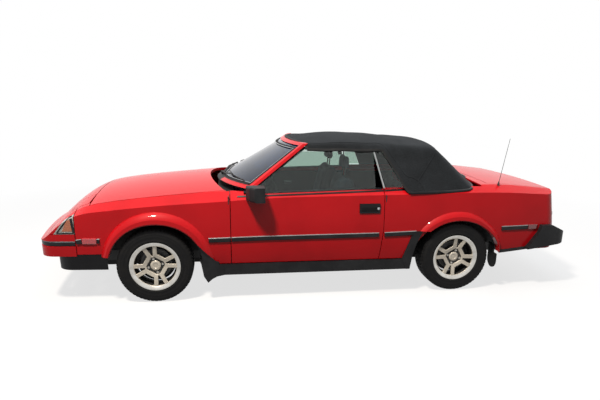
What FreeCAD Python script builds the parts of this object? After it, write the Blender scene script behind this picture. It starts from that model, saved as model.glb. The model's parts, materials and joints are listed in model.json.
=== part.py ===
import FreeCAD, Part
import Sketcher
import math
import os
import re

# Two-door convertible car with its fabric top closed. Millimetres.
# Frame: front towards -X, left side towards -Y, +Z up, origin on the floor under the middle of the car.

V = FreeCAD.Vector
LEFT, RIGHT = -1, 1

doc = FreeCAD.newDocument("Convertible")
sheet = doc.addObject("Spreadsheet::Sheet", "Sizes")

# alias, value: the driving sizes. Places along the car are measured from an axle.
SIZES = [
    # overall
    ("Length", 4475), ("FrontOverhang", 905), ("Wheelbase", 2500), ("BodyHalfWidth", 832),
    ("FlareHalfWidth", 860), ("PlanTaper", 47), ("TailTaper", 32),
    # walls, seams and clearances
    ("SeamGap", 6), ("MoveGap", 8), ("TouchGap", 1), ("SkinWall", 12), ("LidWall", 25), ("DoorWall", 128),
    ("FloorWall", 8), ("GlassWall", 5), ("FabricWall", 14),
    # wheels
    ("TyreRadius", 298), ("TyreWidth", 205), ("LipRadius", 197), ("SeatRadius", 181), ("BarrelRadius", 173),
    ("WheelFace", 834), ("SpokeWidth", 32), ("BarMiddle", 76), ("HubRecess", 58), ("CapRadius", 40),
    ("FrontOpening", 343), ("RearOpening", 327), ("FrontFlareRadius", 446), ("RearFlareRadius", 417),
    ("ArchClear", 30), ("SteerOffset", 195), ("SteerLean", 9.5), ("StrutRadius", 22), ("SpringRadius", 55),
    # body heights
    ("SillBottom", 197), ("DoorBottom", 306), ("StripHeight", 515), ("BumperBottom", 389),
    ("BumperTop", 565), ("DamBottom", 257), ("BeltHeight", 868), ("FloorHeight", 230),
    ("BootFloorHeight", 412), ("StripLow", 470), ("StripHigh", 512), ("StripDepth", 5),
    # doors, hood and boot lid
    ("DoorFront", 597), ("DoorRear", 649), ("HoodFront", 490), ("CowlCentre", 435), ("CowlSide", 560),
    ("HoodHalfWidth", 690), ("BootFront", 310), ("BootHalfWidth", 642), ("TailLean", 46),
    ("TailFromAxle", 934), ("BumperSeam", 583), ("NoseHalfWidth", 640),
    # screen
    ("ScreenBase", 770), ("ScreenBaseHeight", 915), ("ScreenBaseHalf", 700), ("ScreenHeader", 1180),
    ("ScreenHeaderHeight", 1222), ("ScreenHeaderHalf", 560), ("PillarWidth", 30),
    # plate bolts
    ("PlateSpacing", 177.8), ("PlateHeight", 700), ("PlateHole", 3.5),
    # pop-up lamps
    ("LampInner", 395), ("LampOuter", 625), ("LampReach", 218), ("LampSweep", 38), ("LampPivot", 422),
    ("LampPivotHeight", 775), ("LampHeel", 76),
    # hinges
    ("DoorHinge", 60), ("HoodHingeX", 585), ("HoodHingeZ", 862), ("BootHingeX", 215), ("BootHingeZ", 872),
    ("BootReach", 108),
    # cabin
    ("SeatSide", 370), ("SeatWidth", 500), ("WheelRadius", 185), ("WheelRim", 14), ("ColumnX", 990),
    ("ColumnHeight", 860), ("ColumnLean", 25),
]
for row, (alias, number) in enumerate(SIZES, start=1):
    sheet.set("A%d" % row, alias)
    sheet.set("B%d" % row, str(number))
    sheet.setAlias("B%d" % row, alias)
doc.recompute()

PLACES = {"FrontAxle": "(-Length / 2 + FrontOverhang)",
          "RearAxle": "(-Length / 2 + FrontOverhang + Wheelbase)"}


def rule(text):
    """Plain words for sizes and places, turned into an expression on the sheet."""
    for word, meaning in PLACES.items():
        text = text.replace(word, meaning)
    return re.sub(r"[A-Z][A-Za-z]+", lambda word: "Sizes." + word.group(0), text)


def value(text):
    return float(sheet.evalExpression(rule(text)))


def size(alias):
    return float(sheet.get(alias))


X_FRONT = value("FrontAxle")
X_REAR = value("RearAxle")
AXLE_Z = size("TyreRadius")
GAP = size("SeamGap")
SKIN = size("SkinWall")
LIMIT = 1200.0          # beyond the car on every side


def fore(dx):
    """Place measured back from the front axle."""
    return X_FRONT + dx


def aft(dx):
    """Place measured back from the rear axle."""
    return X_REAR + dx


DOOR_FRONT_X = fore(size("DoorFront"))
DOOR_REAR_X = aft(-size("DoorRear"))
HOOD_FRONT_X = fore(-size("HoodFront"))
BUMPER_SEAM_X = fore(-size("BumperSeam"))
BOOT_FRONT_X = aft(size("BootFront"))
TAIL_X = aft(size("TailFromAxle"))
NOSE_HALF = size("NoseHalfWidth")
BOOT_HALF = size("BootHalfWidth")

pieces = {}      # node name: the document object that becomes that node


# ---------------------------------------------------------------- plain geometry

def box(x0, x1, y0, y1, z0, z1):
    return Part.makeBox(x1 - x0, y1 - y0, z1 - z0, V(x0, y0, z0))


def wire(points):
    return Part.makePolygon(points + [points[0]])


def prism_xz(points, y0, y1):
    """Side-view outline, run across the car from y0 to y1."""
    face = Part.Face(wire([V(x, y0, z) for x, z in points]))
    return face.extrude(V(0, y1 - y0, 0))


def prism_xy(points, z0, z1):
    face = Part.Face(wire([V(x, y, z0) for x, y in points]))
    return face.extrude(V(0, 0, z1 - z0))


def cylinder_y(x, z, radius, y0, y1):
    return Part.makeCylinder(radius, y1 - y0, V(x, y0, z), V(0, 1, 0))


def mirrored(shape):
    return shape.mirror(V(0, 0, 0), V(0, 1, 0))


def both(shape):
    """The same solids on the left and on the right."""
    return Part.makeCompound(shape.Solids + mirrored(shape).Solids)


def clean(shape, crumb=500):
    """Solids alone, without crumbs left by a cut."""
    kept = [s for s in shape.Solids if s.Volume > crumb]
    return kept[0] if len(kept) == 1 else Part.makeCompound(kept)


def arc(a, b, c):
    return Part.Arc(a, b, c).toShape()


def chain(*runs):
    """Closed wire from runs of two points (line) or three points (arc)."""
    return Part.Wire([arc(*run) if len(run) == 3 else Part.makeLine(*run) for run in runs])


# ---------------------------------------------------------------- bound document objects

def keep(item, name):
    item.Label = name
    pieces[name] = item
    return item


def place(item, x="0", y="0", z="0", turn=None):
    """Tie an object's place to the sheet; turn is an axis and an angle in degrees."""
    if turn:
        item.Placement = FreeCAD.Placement(V(0, 0, 0), FreeCAD.Rotation(V(*turn[0]), turn[1]))
    for axis, text in (("x", x), ("y", y), ("z", z)):
        item.setExpression("Placement.Base." + axis, rule(text))
    return item


def solid(kind, name, at, turn=None, **sizes):
    """One Part primitive with every size and its place bound to the sheet."""
    item = doc.addObject("Part::" + kind, name)
    for prop, text in sizes.items():
        item.setExpression(prop, rule(text))
    return place(item, *at, turn=turn)


def block(name, x, y, z):
    """Part::Box from three pairs of rules: low and high side on each axis."""
    return solid("Box", name, (x[0], y[0], z[0]), Length="(%s) - (%s)" % (x[1], x[0]),
                 Width="(%s) - (%s)" % (y[1], y[0]), Height="(%s) - (%s)" % (z[1], z[0]))


def fuse(name, *items):
    item = doc.addObject("Part::MultiFuse", name)
    item.Shapes = list(items)
    return item


def cut(name, base, tool):
    item = doc.addObject("Part::Cut", name)
    item.Base = base
    item.Tool = tool
    return item


def group(name, *items):
    item = doc.addObject("Part::Compound", name)
    item.Links = list(items)
    return item


def mirror(name, source):
    item = doc.addObject("Part::Mirroring", name)
    item.Source = source
    item.Normal = (0, 1, 0)
    item.Base = (0, 0, 0)
    return item


def base_plane(body, role):
    return [o for o in body.Origin.OriginFeatures if o.Role == role][0]


def sketch(body, name, role, corners, turn=0):
    """Closed outline on one of the body's base planes, each corner bound to the sheet."""
    drawing = body.newObject("Sketcher::SketchObject", name)
    drawing.AttachmentSupport = [(base_plane(body, role), "")]
    drawing.MapMode = "FlatFace"
    drawing.AttachmentOffset = FreeCAD.Placement(V(0, 0, 0), FreeCAD.Rotation(V(0, 0, 1), turn))
    at = [(value(x), value(y)) for x, y in corners]
    count = len(at)
    for i, a in enumerate(at):
        b = at[(i + 1) % count]
        drawing.addGeometry(Part.LineSegment(V(a[0], a[1], 0), V(b[0], b[1], 0)))
    for i in range(count):
        drawing.addConstraint(Sketcher.Constraint("Coincident", i, 2, (i + 1) % count, 1))
    for i, texts in enumerate(corners):
        for kind, text, number, zero in zip(("DistanceX", "DistanceY"), texts, at[i], (-2, -1)):
            if text == "0":
                drawing.addConstraint(Sketcher.Constraint("PointOnObject", i, 1, zero))
                continue
            index = drawing.addConstraint(Sketcher.Constraint(kind, -1, 1, i, 1, number))
            drawing.setExpression("Constraints[%d]" % index, rule(text))
    return drawing


def pad(name, role, corners, depth, at=("0", "0", "0")):
    """PartDesign body padded evenly to both sides of its sketch plane."""
    body = doc.addObject("PartDesign::Body", name)
    profile = sketch(body, name + "_outline", role, corners)
    feature = body.newObject("PartDesign::Pad", name + "_pad")
    feature.Profile = profile
    feature.Midplane = True
    feature.setExpression("Length", rule(depth))
    place(body, *at)
    doc.recompute()
    return body


def turned(name, corners):
    """PartDesign body turned about the Y axis from a section in Y and Z."""
    body = doc.addObject("PartDesign::Body", name)
    profile = sketch(body, name + "_section", "YZ_Plane", corners)
    feature = body.newObject("PartDesign::Revolution", name + "_turned")
    feature.Profile = profile
    feature.ReferenceAxis = (profile, ["H_Axis"])
    feature.Angle = 360
    doc.recompute()
    return body


def soften(body, radius, wanted):
    """Round the edges of a body that the test asks for."""
    names = ["Edge%d" % i for i, edge in enumerate(body.Shape.Edges, start=1) if wanted(edge)]
    before = body.Tip
    feature = body.newObject("PartDesign::Fillet", body.Name + "_rounds")
    feature.Base = (before, names)
    feature.Radius = radius
    body.Tip = feature
    doc.recompute()
    return body


def along_y(edge):
    return abs(edge.BoundBox.YLength - edge.Length) < 0.01


# ---------------------------------------------------------------- master forms of the body

# height, how far the side wall stands in, how far the tail stands in
WALL_LEVELS = [(100, 58, 0), (300, 14, 0), (515, 0, 4), (700, 8, 26), (860, 24, 46), (1100, 60, 86)]
NOSE_CORNER, NOSE_BOW = 130.0, 11700.0
TAIL_CORNER, TAIL_BOW = 110.0, 13600.0


def plan_outline(height, inset, tail_in, shell):
    """Plan of the body at one height: bowed nose and tail, round corners, long side arcs."""
    half = size("BodyHalfWidth") - inset - shell
    nose_x = fore(-size("FrontOverhang")) + shell
    tail_x = TAIL_X + size("TailLean") - tail_in - shell

    def corner(half_width, end_x, radius, bow, way):
        cy = half_width - radius
        cx = end_x - way * (cy * cy / bow + radius)
        tilt = 2 * cy / bow
        on_side = V(cx, half_width, height)
        middle = V(cx + way * radius * math.cos(0.8), cy + radius * math.sin(0.8), height)
        on_end = V(cx + way * radius * math.cos(tilt), cy + radius * math.sin(tilt), height)
        return on_side, middle, on_end

    def bulge(a, b):
        return V((a.x + b.x) / 2, half - (half - min(a.y, b.y)) * 0.25, height)

    def flip(run):
        return tuple(V(p.x, -p.y, p.z) for p in reversed(run))

    nose = corner(half - size("PlanTaper"), nose_x, NOSE_CORNER, NOSE_BOW, -1)
    tail = corner(half - size("TailTaper"), tail_x, TAIL_CORNER, TAIL_BOW, 1)
    side_front, side_rear = V(fore(550), half, height), V(aft(150), half, height)
    runs = [tuple(reversed(tail)), (tail[0], bulge(tail[0], side_rear), side_rear), (side_rear, side_front),
            (side_front, bulge(side_front, nose[0]), nose[0]), nose]
    front = (nose[2], V(nose_x, 0, height), flip(nose)[0])
    rear = (flip(tail)[0], V(tail_x, 0, height), tail[2])
    return chain(*runs, front, *[flip(run) for run in reversed(runs)], rear)


def plan_form(shell=0.0):
    wires = [plan_outline(z, inset, tail_in, shell) for z, inset, tail_in in WALL_LEVELS]
    return Part.makeLoft(wires, True, False)


# axle it is measured from, station, crown height, ridge half width, ridge height, drop per mm outside the ridge
TOP_SECTIONS = [
    ("F", -1060, 364, 690, 330, 0.17),
    ("F", -884, 547, 690, 502, 0.17),
    ("F", -716, 689, 690, 640, 0.20),
    ("F", -620, 763, 690, 712, 0.28),
    ("F", -520, 812, 690, 760, 0.38),
    ("F", -400, 840, 690, 787, 0.45),
    ("F", -140, 873, 690, 820, 0.47),
    ("F", 300, 912, 690, 859, 0.50),
    ("F", 560, 929, 706, 876, 0.60),
    ("F", 850, 930, 735, 885, 0.72),
    ("F", 1250, 932, 752, 890, 0.85),
    ("R", -650, 932, 752, 895, 0.85),
    ("R", -100, 930, 730, 900, 0.60),
    ("R", 387, 922, 690, 906, 0.45),
    ("R", 650, 902, 680, 887, 0.42),
    ("R", 866, 876, 670, 864, 0.36),
    ("R", 1100, 846, 660, 838, 0.30),
]
FORM_HALF, FORM_BASE = 1000.0, 40.0


def top_outline(axle, dx, crown, ridge_half, ridge_height, slope, shell):
    x = fore(dx) if axle == "F" else aft(dx)
    ridge = V(x, ridge_half, ridge_height - shell)
    edge = V(x, FORM_HALF, ridge_height - slope * (FORM_HALF - ridge_half) - shell)
    foot = V(x, FORM_HALF, FORM_BASE)

    def flip(p):
        return V(p.x, -p.y, p.z)

    return chain((flip(edge), flip(ridge)), (flip(ridge), V(x, 0, crown - shell), ridge), (ridge, edge),
                 (edge, foot), (foot, flip(foot)), (flip(foot), flip(edge)))


def top_form(shell=0.0):
    return Part.makeLoft([top_outline(*row, shell) for row in TOP_SECTIONS], True, False)


def body_form(shell=0.0):
    return plan_form(shell).common(top_form(shell))


outer = body_form()
inner_skin = body_form(SKIN)
inner_lid = body_form(size("LidWall"))
skin = outer.cut(inner_skin)


# degrees about the axle from the rear, share of the flare's reach, how far the opening stands wider than
# at its top, how far the flare's edge does
FRONT_ARCH = [(-4, 29, 45), (16, 29, 31), (37, 27, 28), (62, 13, 15), (90, 0, 0), (118, 2, -10),
              (148, 8, -22), (166, 10, -31), (184, 10, -34)]
REAR_ARCH = [(-4, 65, -12), (12, 61, -8), (25, 50, 14), (40, 30, 6), (64, 9, 0), (90, 0, 0), (118, 5, 6),
             (143, 22, 14), (160, 44, 18), (184, 62, 20)]


def arch_sizes(x):
    """The table of an arch with the radius of its opening and that of its flare's edge."""
    if x == X_FRONT:
        return FRONT_ARCH, size("FrontOpening"), size("FrontFlareRadius")
    return REAR_ARCH, size("RearOpening"), size("RearFlareRadius")


def around(x, angle, radius, y):
    turn = math.radians(angle)
    return V(x + radius * math.cos(turn), y, AXLE_Z + radius * math.sin(turn))


def arch_space(x, grow, y0=-1000, y1=-500):
    """Space for one wheel on the left side, open downwards."""
    table, opening, _ = arch_sizes(x)
    points = [around(x, angle, opening + wide + grow, y0) for angle, wide, _ in table]
    top = Part.BSplineCurve()
    top.interpolate(points)
    first, last = points[0], points[-1]
    low = [first, V(first.x, y0, 0), V(last.x, y0, 0), last]
    face = Part.Face(Part.Wire([top.toShape()] + [Part.makeLine(a, b) for a, b in zip(low, low[1:])]))
    return face.extrude(V(0, y1 - y0, 0))


def hood_region(grow):
    """Upright prism over the hood, grown past its edges."""
    half = size("HoodHalfWidth") + grow
    nose, bow = HOOD_FRONT_X - grow, 8
    rear, middle = fore(size("CowlSide")) + 2 * grow, fore(size("CowlCentre")) + 2 * grow
    outline = chain((V(nose + bow, -half, 500), V(nose, 0, 500), V(nose + bow, half, 500)),
                    (V(nose + bow, half, 500), V(rear, half, 500)),
                    (V(rear, half, 500), V(middle, 0, 500), V(rear, -half, 500)),
                    (V(rear, -half, 500), V(nose + bow, -half, 500)))
    return Part.Face(outline).extrude(V(0, 0, 700))


# ---------------------------------------------------------------- outer panels

def make_hood():
    return outer.common(hood_region(-GAP / 2)).cut(inner_lid)


def boot_front(extra):
    """Cylinder about the boot lid's hinge: the lid lies outside it, the deck ahead of the lid inside it."""
    return cylinder_y(aft(size("BootHingeX")), size("BootHingeZ"), size("BootReach") + extra, -LIMIT, LIMIT)


def make_boot_lid():
    half = BOOT_HALF - GAP / 2
    region = box(aft(size("BootHingeX")), TAIL_X + 200, -half, half, 828, 1000).cut(boot_front(0))
    return clean(outer.common(region).cut(inner_lid))


def make_fenders():
    side = box(BUMPER_SEAM_X + GAP / 2, DOOR_FRONT_X - GAP / 2, -LIMIT, -600, size("DoorBottom"), LIMIT)
    panel = skin.common(side).cut(hood_region(GAP / 2))
    panel = panel.cut(box(fore(-700), fore(-250), -LIMIT, -500, 0, size("BumperBottom") + 16))
    panel = panel.cut(arch_space(X_FRONT, SKIN))
    panel = panel.cut(box(fore(-700), HOOD_FRONT_X + 40, -NOSE_HALF - 3, 0, 400, LIMIT))
    cowl_x = fore(size("CowlSide"))
    panel = panel.cut(prism_xy([(cowl_x - 60, 0), (cowl_x - 60, -694), (cowl_x + GAP, -694),
                                (cowl_x + GAP, -712), (DOOR_FRONT_X + 50, -712), (DOOR_FRONT_X + 50, 0)],
                               500, 1100))
    return both(clean(panel))


def make_quarters():
    low, edge, tail = size("DoorBottom"), BOOT_HALF + GAP / 2, TAIL_X + 200
    side = prism_xz([(x + GAP, z) for x, z in door_outline(GAP / 2)[1:4]] +
                    [(aft(-340), low), (aft(340), low + 20), (aft(700), 350), (tail, 350), (tail, 1000)],
                    -LIMIT, -725)
    boot_side = box(BOOT_FRONT_X - 80, tail, -LIMIT, -edge, 350, LIMIT)
    strip = box(BOOT_FRONT_X - 80, BOOT_FRONT_X + 40, -edge - 1, edge + 1, 838, LIMIT)
    strip = strip.common(boot_front(-GAP))
    region = side.fuse([boot_side, mirrored(side), mirrored(boot_side), strip])
    panel = skin.common(region)
    wheel = arch_space(X_REAR, SKIN)
    panel = panel.cut(wheel).cut(mirrored(wheel))
    return clean(panel.cut(box(TAIL_X - 22, TAIL_X + 300, -LIMIT, LIMIT, 0, LIMIT)))


def make_rear_panel():
    region = box(TAIL_X - 21, TAIL_X + 200, -LIMIT, LIMIT, 352, 815)
    corners = box(TAIL_X - 21, TAIL_X + 200, -LIMIT, LIMIT, 815, 1000)
    edge = BOOT_HALF + GAP / 2
    corners = corners.cut(box(TAIL_X - 30, TAIL_X + 300, -edge, edge, 815, 1100))
    panel = skin.common(region.fuse(corners))
    lamp = box(TAIL_X - 40, TAIL_X + 200, -LIMIT, -329, 629, 812)
    panel = panel.cut(lamp).cut(mirrored(lamp))
    for side in (LEFT, RIGHT):
        spot = V(TAIL_X - 50, side * size("PlateSpacing") / 2, size("PlateHeight"))
        panel = panel.cut(Part.makeCylinder(size("PlateHole"), 200, spot, V(1, 0, 0)))
    return clean(panel)


def make_tail_lamps():
    region = box(TAIL_X - 20, TAIL_X + 200, -LIMIT, -330, 630, 811)
    return both(clean(outer.common(region).cut(inner_lid)))


def door_outline(gap):
    """Side view of a door: upright front edge, rear edge leaning forward at the foot."""
    return [(DOOR_FRONT_X + gap, 1000), (DOOR_REAR_X - gap, 1000), (DOOR_REAR_X - gap, 560),
            (DOOR_REAR_X - gap - 28, size("DoorBottom")), (DOOR_FRONT_X + gap, size("DoorBottom"))]


def side_glass(low_front, low_rear, top_front, top_rear, wall, out=0.0):
    """Leaning pane ruled from its lower line to its upper line; places are x, half width, height."""
    def strip(a, b):
        return wire([V(a[0], -a[1] - out, a[2]), V(b[0], -b[1] - out, b[2]),
                     V(b[0], -b[1] - out + wall, b[2]), V(a[0], -a[1] - out + wall, a[2])])
    return Part.makeLoft([strip(low_front, low_rear), strip(top_front, top_rear)], True, True)


GLASS_LOW = 800.0       # lower edge of the door glass, inside the door


def door_pane(wall, out=0.0, longer=0.0):
    return side_glass((fore(672) - 3 * longer, 790, GLASS_LOW - longer), (DOOR_REAR_X - 60 + longer, 792,
                      GLASS_LOW - longer), (fore(1172), 604, 1176), (DOOR_REAR_X - 60 + longer, 597, 1172),
                      wall, out)


def make_door():
    inner_face = size("BodyHalfWidth") - size("DoorWall")
    door = outer.common(prism_xz(door_outline(GAP / 2), -LIMIT, -inner_face))
    belt = size("BeltHeight")
    above = prism_xz([(DOOR_FRONT_X - 50, belt + 14), (fore(880), belt - 8), (DOOR_REAR_X + 50, belt + 22),
                      (DOOR_REAR_X + 50, 1100), (DOOR_FRONT_X - 50, 1100)], -LIMIT, 0)
    door = door.cut(above)
    recess = box(DOOR_REAR_X - 211, DOOR_REAR_X - 36, -LIMIT, -812, 698, 779)
    slot = door_pane(size("GlassWall") + 6, 3, 3)
    hinge_x = DOOR_FRONT_X + size("DoorHinge")
    swing = Part.makeCylinder(DOOR_REAR_X - GAP / 2 - hinge_x, 1000,
                              V(hinge_x, 8 - size("BodyHalfWidth"), 100), V(0, 0, 1))
    return clean(door.common(swing).cut(recess).cut(slot))


def make_quarter_glass():
    pane = side_glass((DOOR_REAR_X + 10, 786, 903), (DOOR_REAR_X + 165, 786, 903),
                      (DOOR_REAR_X - 44, 598, 1178), (DOOR_REAR_X + 14, 598, 1178), size("GlassWall"))
    return both(pane)


# ---------------------------------------------------------------- front end

def corner_lamp_region(grow):
    """Wedge on the flank: low and pointed at the front, as tall as the wing at its rear."""
    low, rear = size("BumperTop") + 3, BUMPER_SEAM_X - GAP / 2
    return prism_xz([(fore(-742) - grow, low - grow), (fore(-634) - grow, 706 + grow), (rear - 20, 725 + grow),
                     (rear + grow, 725 + grow), (rear + grow, low - grow)], -LIMIT, -LAMP_EDGE + grow)


LAMP_EDGE = 742.0       # half width over the corner lamps' inner ends


def make_corner_lamps():
    return both(clean(outer.common(corner_lamp_region(0)).cut(inner_lid), 20000))


def lamp_pivot():
    return V(fore(-size("LampPivot")), 0, size("LampPivotHeight"))


def lamp_sector(grow):
    """Ring sector about the lamp's hinge: its top is the lid in the nose, its round front carries the lens."""
    pivot, low = lamp_pivot(), math.radians(LAMP_FLOOR + 0.3 * grow)
    y0, y1 = -size("LampOuter") - grow, -size("LampInner") + grow
    ring = cylinder_y(pivot.x, pivot.z, size("LampReach") + grow, y0, y1)
    ring = ring.cut(cylinder_y(pivot.x, pivot.z, size("LampHeel") - grow, y0 - 1, y1 + 1))
    wedge = prism_xz([(pivot.x, pivot.z), (pivot.x + 900 * math.cos(low), pivot.z + 900 * math.sin(low)),
                      (pivot.x - 900, pivot.z), (pivot.x - 900, pivot.z + 300), (pivot.x, pivot.z + 300)],
                     y0 - 1, y1 + 1)
    return ring.common(wedge)


LAMP_FLOOR = 236.0                       # degrees about the hinge at which the lamp's bucket ends
LENS_START, LENS_STOP, LENS_HALF = 201.0, 230.0, 100.0     # degrees about the hinge; half width


def lens_shape(grow=0.0):
    pivot, reach = lamp_pivot(), size("LampReach")
    middle = -(size("LampOuter") + size("LampInner")) / 2
    y0, y1 = middle - LENS_HALF - grow, middle + LENS_HALF + grow
    drum = cylinder_y(pivot.x, pivot.z, reach - 4 + 10 * grow, y0, y1)
    drum = drum.cut(cylinder_y(pivot.x, pivot.z, reach - 16 - grow, y0 - 5, y1 + 5))
    a = math.radians(LENS_START - 0.2 * grow)
    b = math.radians(LENS_STOP + 0.2 * grow)
    wedge = prism_xz([(pivot.x, pivot.z), (pivot.x + 500 * math.cos(a), pivot.z + 500 * math.sin(a)),
                      (pivot.x + 500 * math.cos(b), pivot.z + 500 * math.sin(b))], y0 - 5, y1 + 5)
    return drum.common(wedge)


def make_headlamp():
    return clean(lamp_sector(0).common(outer).cut(lens_shape(1)))


def make_nose_panel():
    low = size("BumperTop") + 3
    region = box(fore(-1000), HOOD_FRONT_X + 60, -NOSE_HALF + 1, NOSE_HALF - 1, low, 900)
    region = region.fuse(box(fore(-1000), BUMPER_SEAM_X - GAP / 2, -LIMIT, LIMIT, low, 900))
    panel = skin.common(region).cut(hood_region(GAP / 2 + 1))
    lamp = corner_lamp_region(1)
    panel = panel.cut(lamp).cut(mirrored(lamp))
    well = lamp_sector(GAP).fuse(box(fore(-size("LampPivot") - 80), HOOD_FRONT_X + 80,
                                     -size("LampOuter") - GAP, -size("LampInner") + GAP, 700, 900))
    return clean(panel.cut(well).cut(mirrored(well)))


def make_front_bumper():
    region = box(fore(-1000), BUMPER_SEAM_X - GAP / 2, -LIMIT, LIMIT, size("BumperBottom"),
                 size("BumperTop"))
    bumper = outer.common(region).cut(plan_form(60))
    groove = outer.cut(plan_form(size("StripDepth"))).common(
        box(fore(-1000), fore(0), -LIMIT, LIMIT, size("StripLow"), size("StripHigh")))
    return clean(bumper.cut(groove))


DAM_INSET, DAM_WALL, DAM_SET_BACK = 42.0, 14.0, 66.0


def make_air_dam():
    region = box(fore(-1000), fore(-375), -LIMIT, LIMIT, size("DamBottom"), size("BumperBottom") - 1)
    back = V(DAM_SET_BACK, 0, 0)
    dam = plan_form(DAM_INSET).translated(back).common(region)
    dam = dam.cut(plan_form(DAM_INSET + DAM_WALL).translated(back))
    for y in (-400, 20):
        dam = dam.cut(box(fore(-1000), fore(-700), y, y + 380, 298, 356))
    return clean(dam)


# ---------------------------------------------------------------- rear bumper, skirts, flaps and flares

def make_rear_bumper():
    side = prism_xz([(aft(766), 570), (aft(872), 568), (aft(1010), 503), (aft(1070), 474), (aft(1070), 413),
                     (aft(992), 401), (aft(743), 369), (aft(651), 358), (aft(651), 377), (aft(752), 513)],
                    -LIMIT, LIMIT)
    plan = Part.makeLoft([plan_outline(z, 2, -50, -40) for z in (300, 600)], True, True)
    tail_stop = box(aft(0), aft(size("Length") - size("FrontOverhang") - size("Wheelbase")), -LIMIT, LIMIT,
                    0, LIMIT)
    return clean(side.common(plan).cut(plan_form(0)).common(tail_stop))


GUARD_HALF = 840.0      # half width over the black guards and skirts


def arch_panel(x):
    return outer.cut(arch_space(x, SKIN))


def flare_section(x, angle, opening, reach):
    """Section of a flare, square to the arch: return edge, lip, flank and a hollow run to the panel."""
    wide, deep = size("FlareHalfWidth"), reach - opening

    def at(share, y):
        return around(x, angle, opening + share * deep, -y)

    a, b, c, d = at(0, 790), at(0, wide - 6), at(0.08, wide), at(0.39, wide - 3)
    e, f = at(0.73, wide - 26), at(1, 790)
    return chain((a, b), (b, c), (c, d), (d, e, f), (f, a))


def make_flares():
    """Wheel flares, lofted round each axle and left standing proud of the panel."""
    found = []
    strip, bumper = size("StripHeight"), size("BumperBottom")
    feet = {X_FRONT: [(fore(-700), 0), (fore(-700), bumper + 1), (fore(0), bumper + 1), (fore(0), 512),
                      (fore(302), 512), (fore(471), 331), (fore(494), 324), (fore(700), 324),
                      (fore(700), 0)],
            X_REAR: [(aft(-700), 0), (aft(-700), strip + 26), (aft(0), strip + 26), (aft(0), 344),
                     (aft(700), 344), (aft(700), 0)]}
    for x in (X_FRONT, X_REAR):
        table, opening, reach = arch_sizes(x)
        sections = [flare_section(x, angle, opening + wide, reach + more) for angle, wide, more in table]
        ring = Part.makeLoft(sections, True, False).cut(arch_panel(x))
        found.append(clean(ring.cut(prism_xz(feet[x], -LIMIT, 0)), 20000))
    return both(Part.makeCompound([s for f in found for s in f.Solids]))


def make_skirts():
    """Black sill skirts with the guard behind the front wheel and the spat ahead of the rear one."""
    sill, door = size("SillBottom"), size("DoorBottom") - 6
    low, front, rear = sill + 16, fore(470), aft(-406)
    run = prism_xz([(front, low), (rear, low), (rear, door), (front, door)], -GUARD_HALF + 4, -700)
    run = run.cut(box(front - 1, rear + 1, -800, -699, low + 14, door + 1))
    guard = prism_xz([(fore(302), 512), (fore(345), 345), (fore(358), 311), (fore(376), 205), (fore(408), 152),
                      (fore(444), 183), (fore(482), 203), (fore(536), low), (fore(536), door),
                      (fore(500), door), (fore(500), 322), (fore(471), 331)], -GUARD_HALF, -790)
    spat = prism_xz([(aft(-477), door), (aft(-440), low), (aft(-406), low), (aft(-388), 330),
                     (aft(-360), 430), (aft(-310), 541), (aft(-365), 541), (aft(-407), 497)],
                    -GUARD_HALF, -790)
    cladding = guard.cut(arch_panel(X_FRONT)).fuse(spat.cut(arch_panel(X_REAR)))
    skirts = run.cut(outer.common(box(-3000, 3000, -LIMIT, 0, size("DoorBottom") - 1, LIMIT))).fuse(cladding)
    skirts = skirts.cut(box(fore(594), aft(-480), -LIMIT, 0, door, LIMIT))
    front_arch = arch_space(X_FRONT, 0).common(box(fore(-500), fore(500), -LIMIT, 0, 340, LIMIT))
    rear_arch = arch_space(X_REAR, 0).common(box(aft(-500), aft(500), -LIMIT, 0, 340, LIMIT))
    skirts = skirts.cut(front_arch).cut(rear_arch).cut(pieces["wheel_flares"].Shape)
    return both(clean(skirts, 20000))


def make_mud_flaps():
    """Flaps across the car behind each wheel: the front one runs down the guard's edge."""
    line = [(346, 430), (346, 345), (358, 311), (376, 205), (404, 158)]
    front = prism_xz([(fore(x), z) for x, z in line] + [(fore(x + 8), z) for x, z in reversed(line)],
                     -789, -690)
    sheet_half = Part.makeCylinder(74, 8, V(aft(370), -765, 258), V(1, 0, 0))
    rear = sheet_half.fuse(box(aft(370), aft(378), -839, -691, 258, 395))
    rear = rear.cut(box(aft(360), aft(390), -850, -788, 323, 460))
    return both(Part.makeCompound([front, rear]))


# ---------------------------------------------------------------- screen and soft top

BASE_BOW, HEADER_BOW = 235.0, 100.0      # how far the screen's middle stands forward of its sides


def screen_band(x_side, half, bow, height, back, deep):
    """Level band of the screen from its outer face to an inner one."""
    x = x_side + back
    ends = [V(x, -half, height), V(x, half, height), V(x + deep, half, height), V(x + deep, -half, height)]
    return chain((ends[0], V(x - bow, 0, height), ends[1]), (ends[1], ends[2]),
                 (ends[2], V(x + deep - bow, 0, height), ends[3]), (ends[3], ends[0]))


def screen_solid(side_more, up_more, back, deep):
    """Screen-shaped solid: wider and taller by the first two, set back and as deep as the others say."""
    x0, z0, half0 = fore(size("ScreenBase")), size("ScreenBaseHeight"), size("ScreenBaseHalf")
    x1, z1, half1 = fore(size("ScreenHeader")), size("ScreenHeaderHeight"), size("ScreenHeaderHalf")
    share = up_more / (z1 - z0)

    def level(part, height):
        x = x0 + (x1 - x0) * part
        half = half0 + (half1 - half0) * part + side_more
        bow = BASE_BOW + (HEADER_BOW - BASE_BOW) * part
        return screen_band(x, half, bow, height, back, deep)

    return Part.makeLoft([level(-share, z0 - up_more), level(1 + share, z1 + up_more)], True, True)


def make_screen_frame():
    return clean(screen_solid(size("PillarWidth"), 20, 0, 36).cut(screen_solid(0, 0, -60, 160)))


def make_screen():
    return clean(screen_solid(-1, -1, 14, 10))


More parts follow.
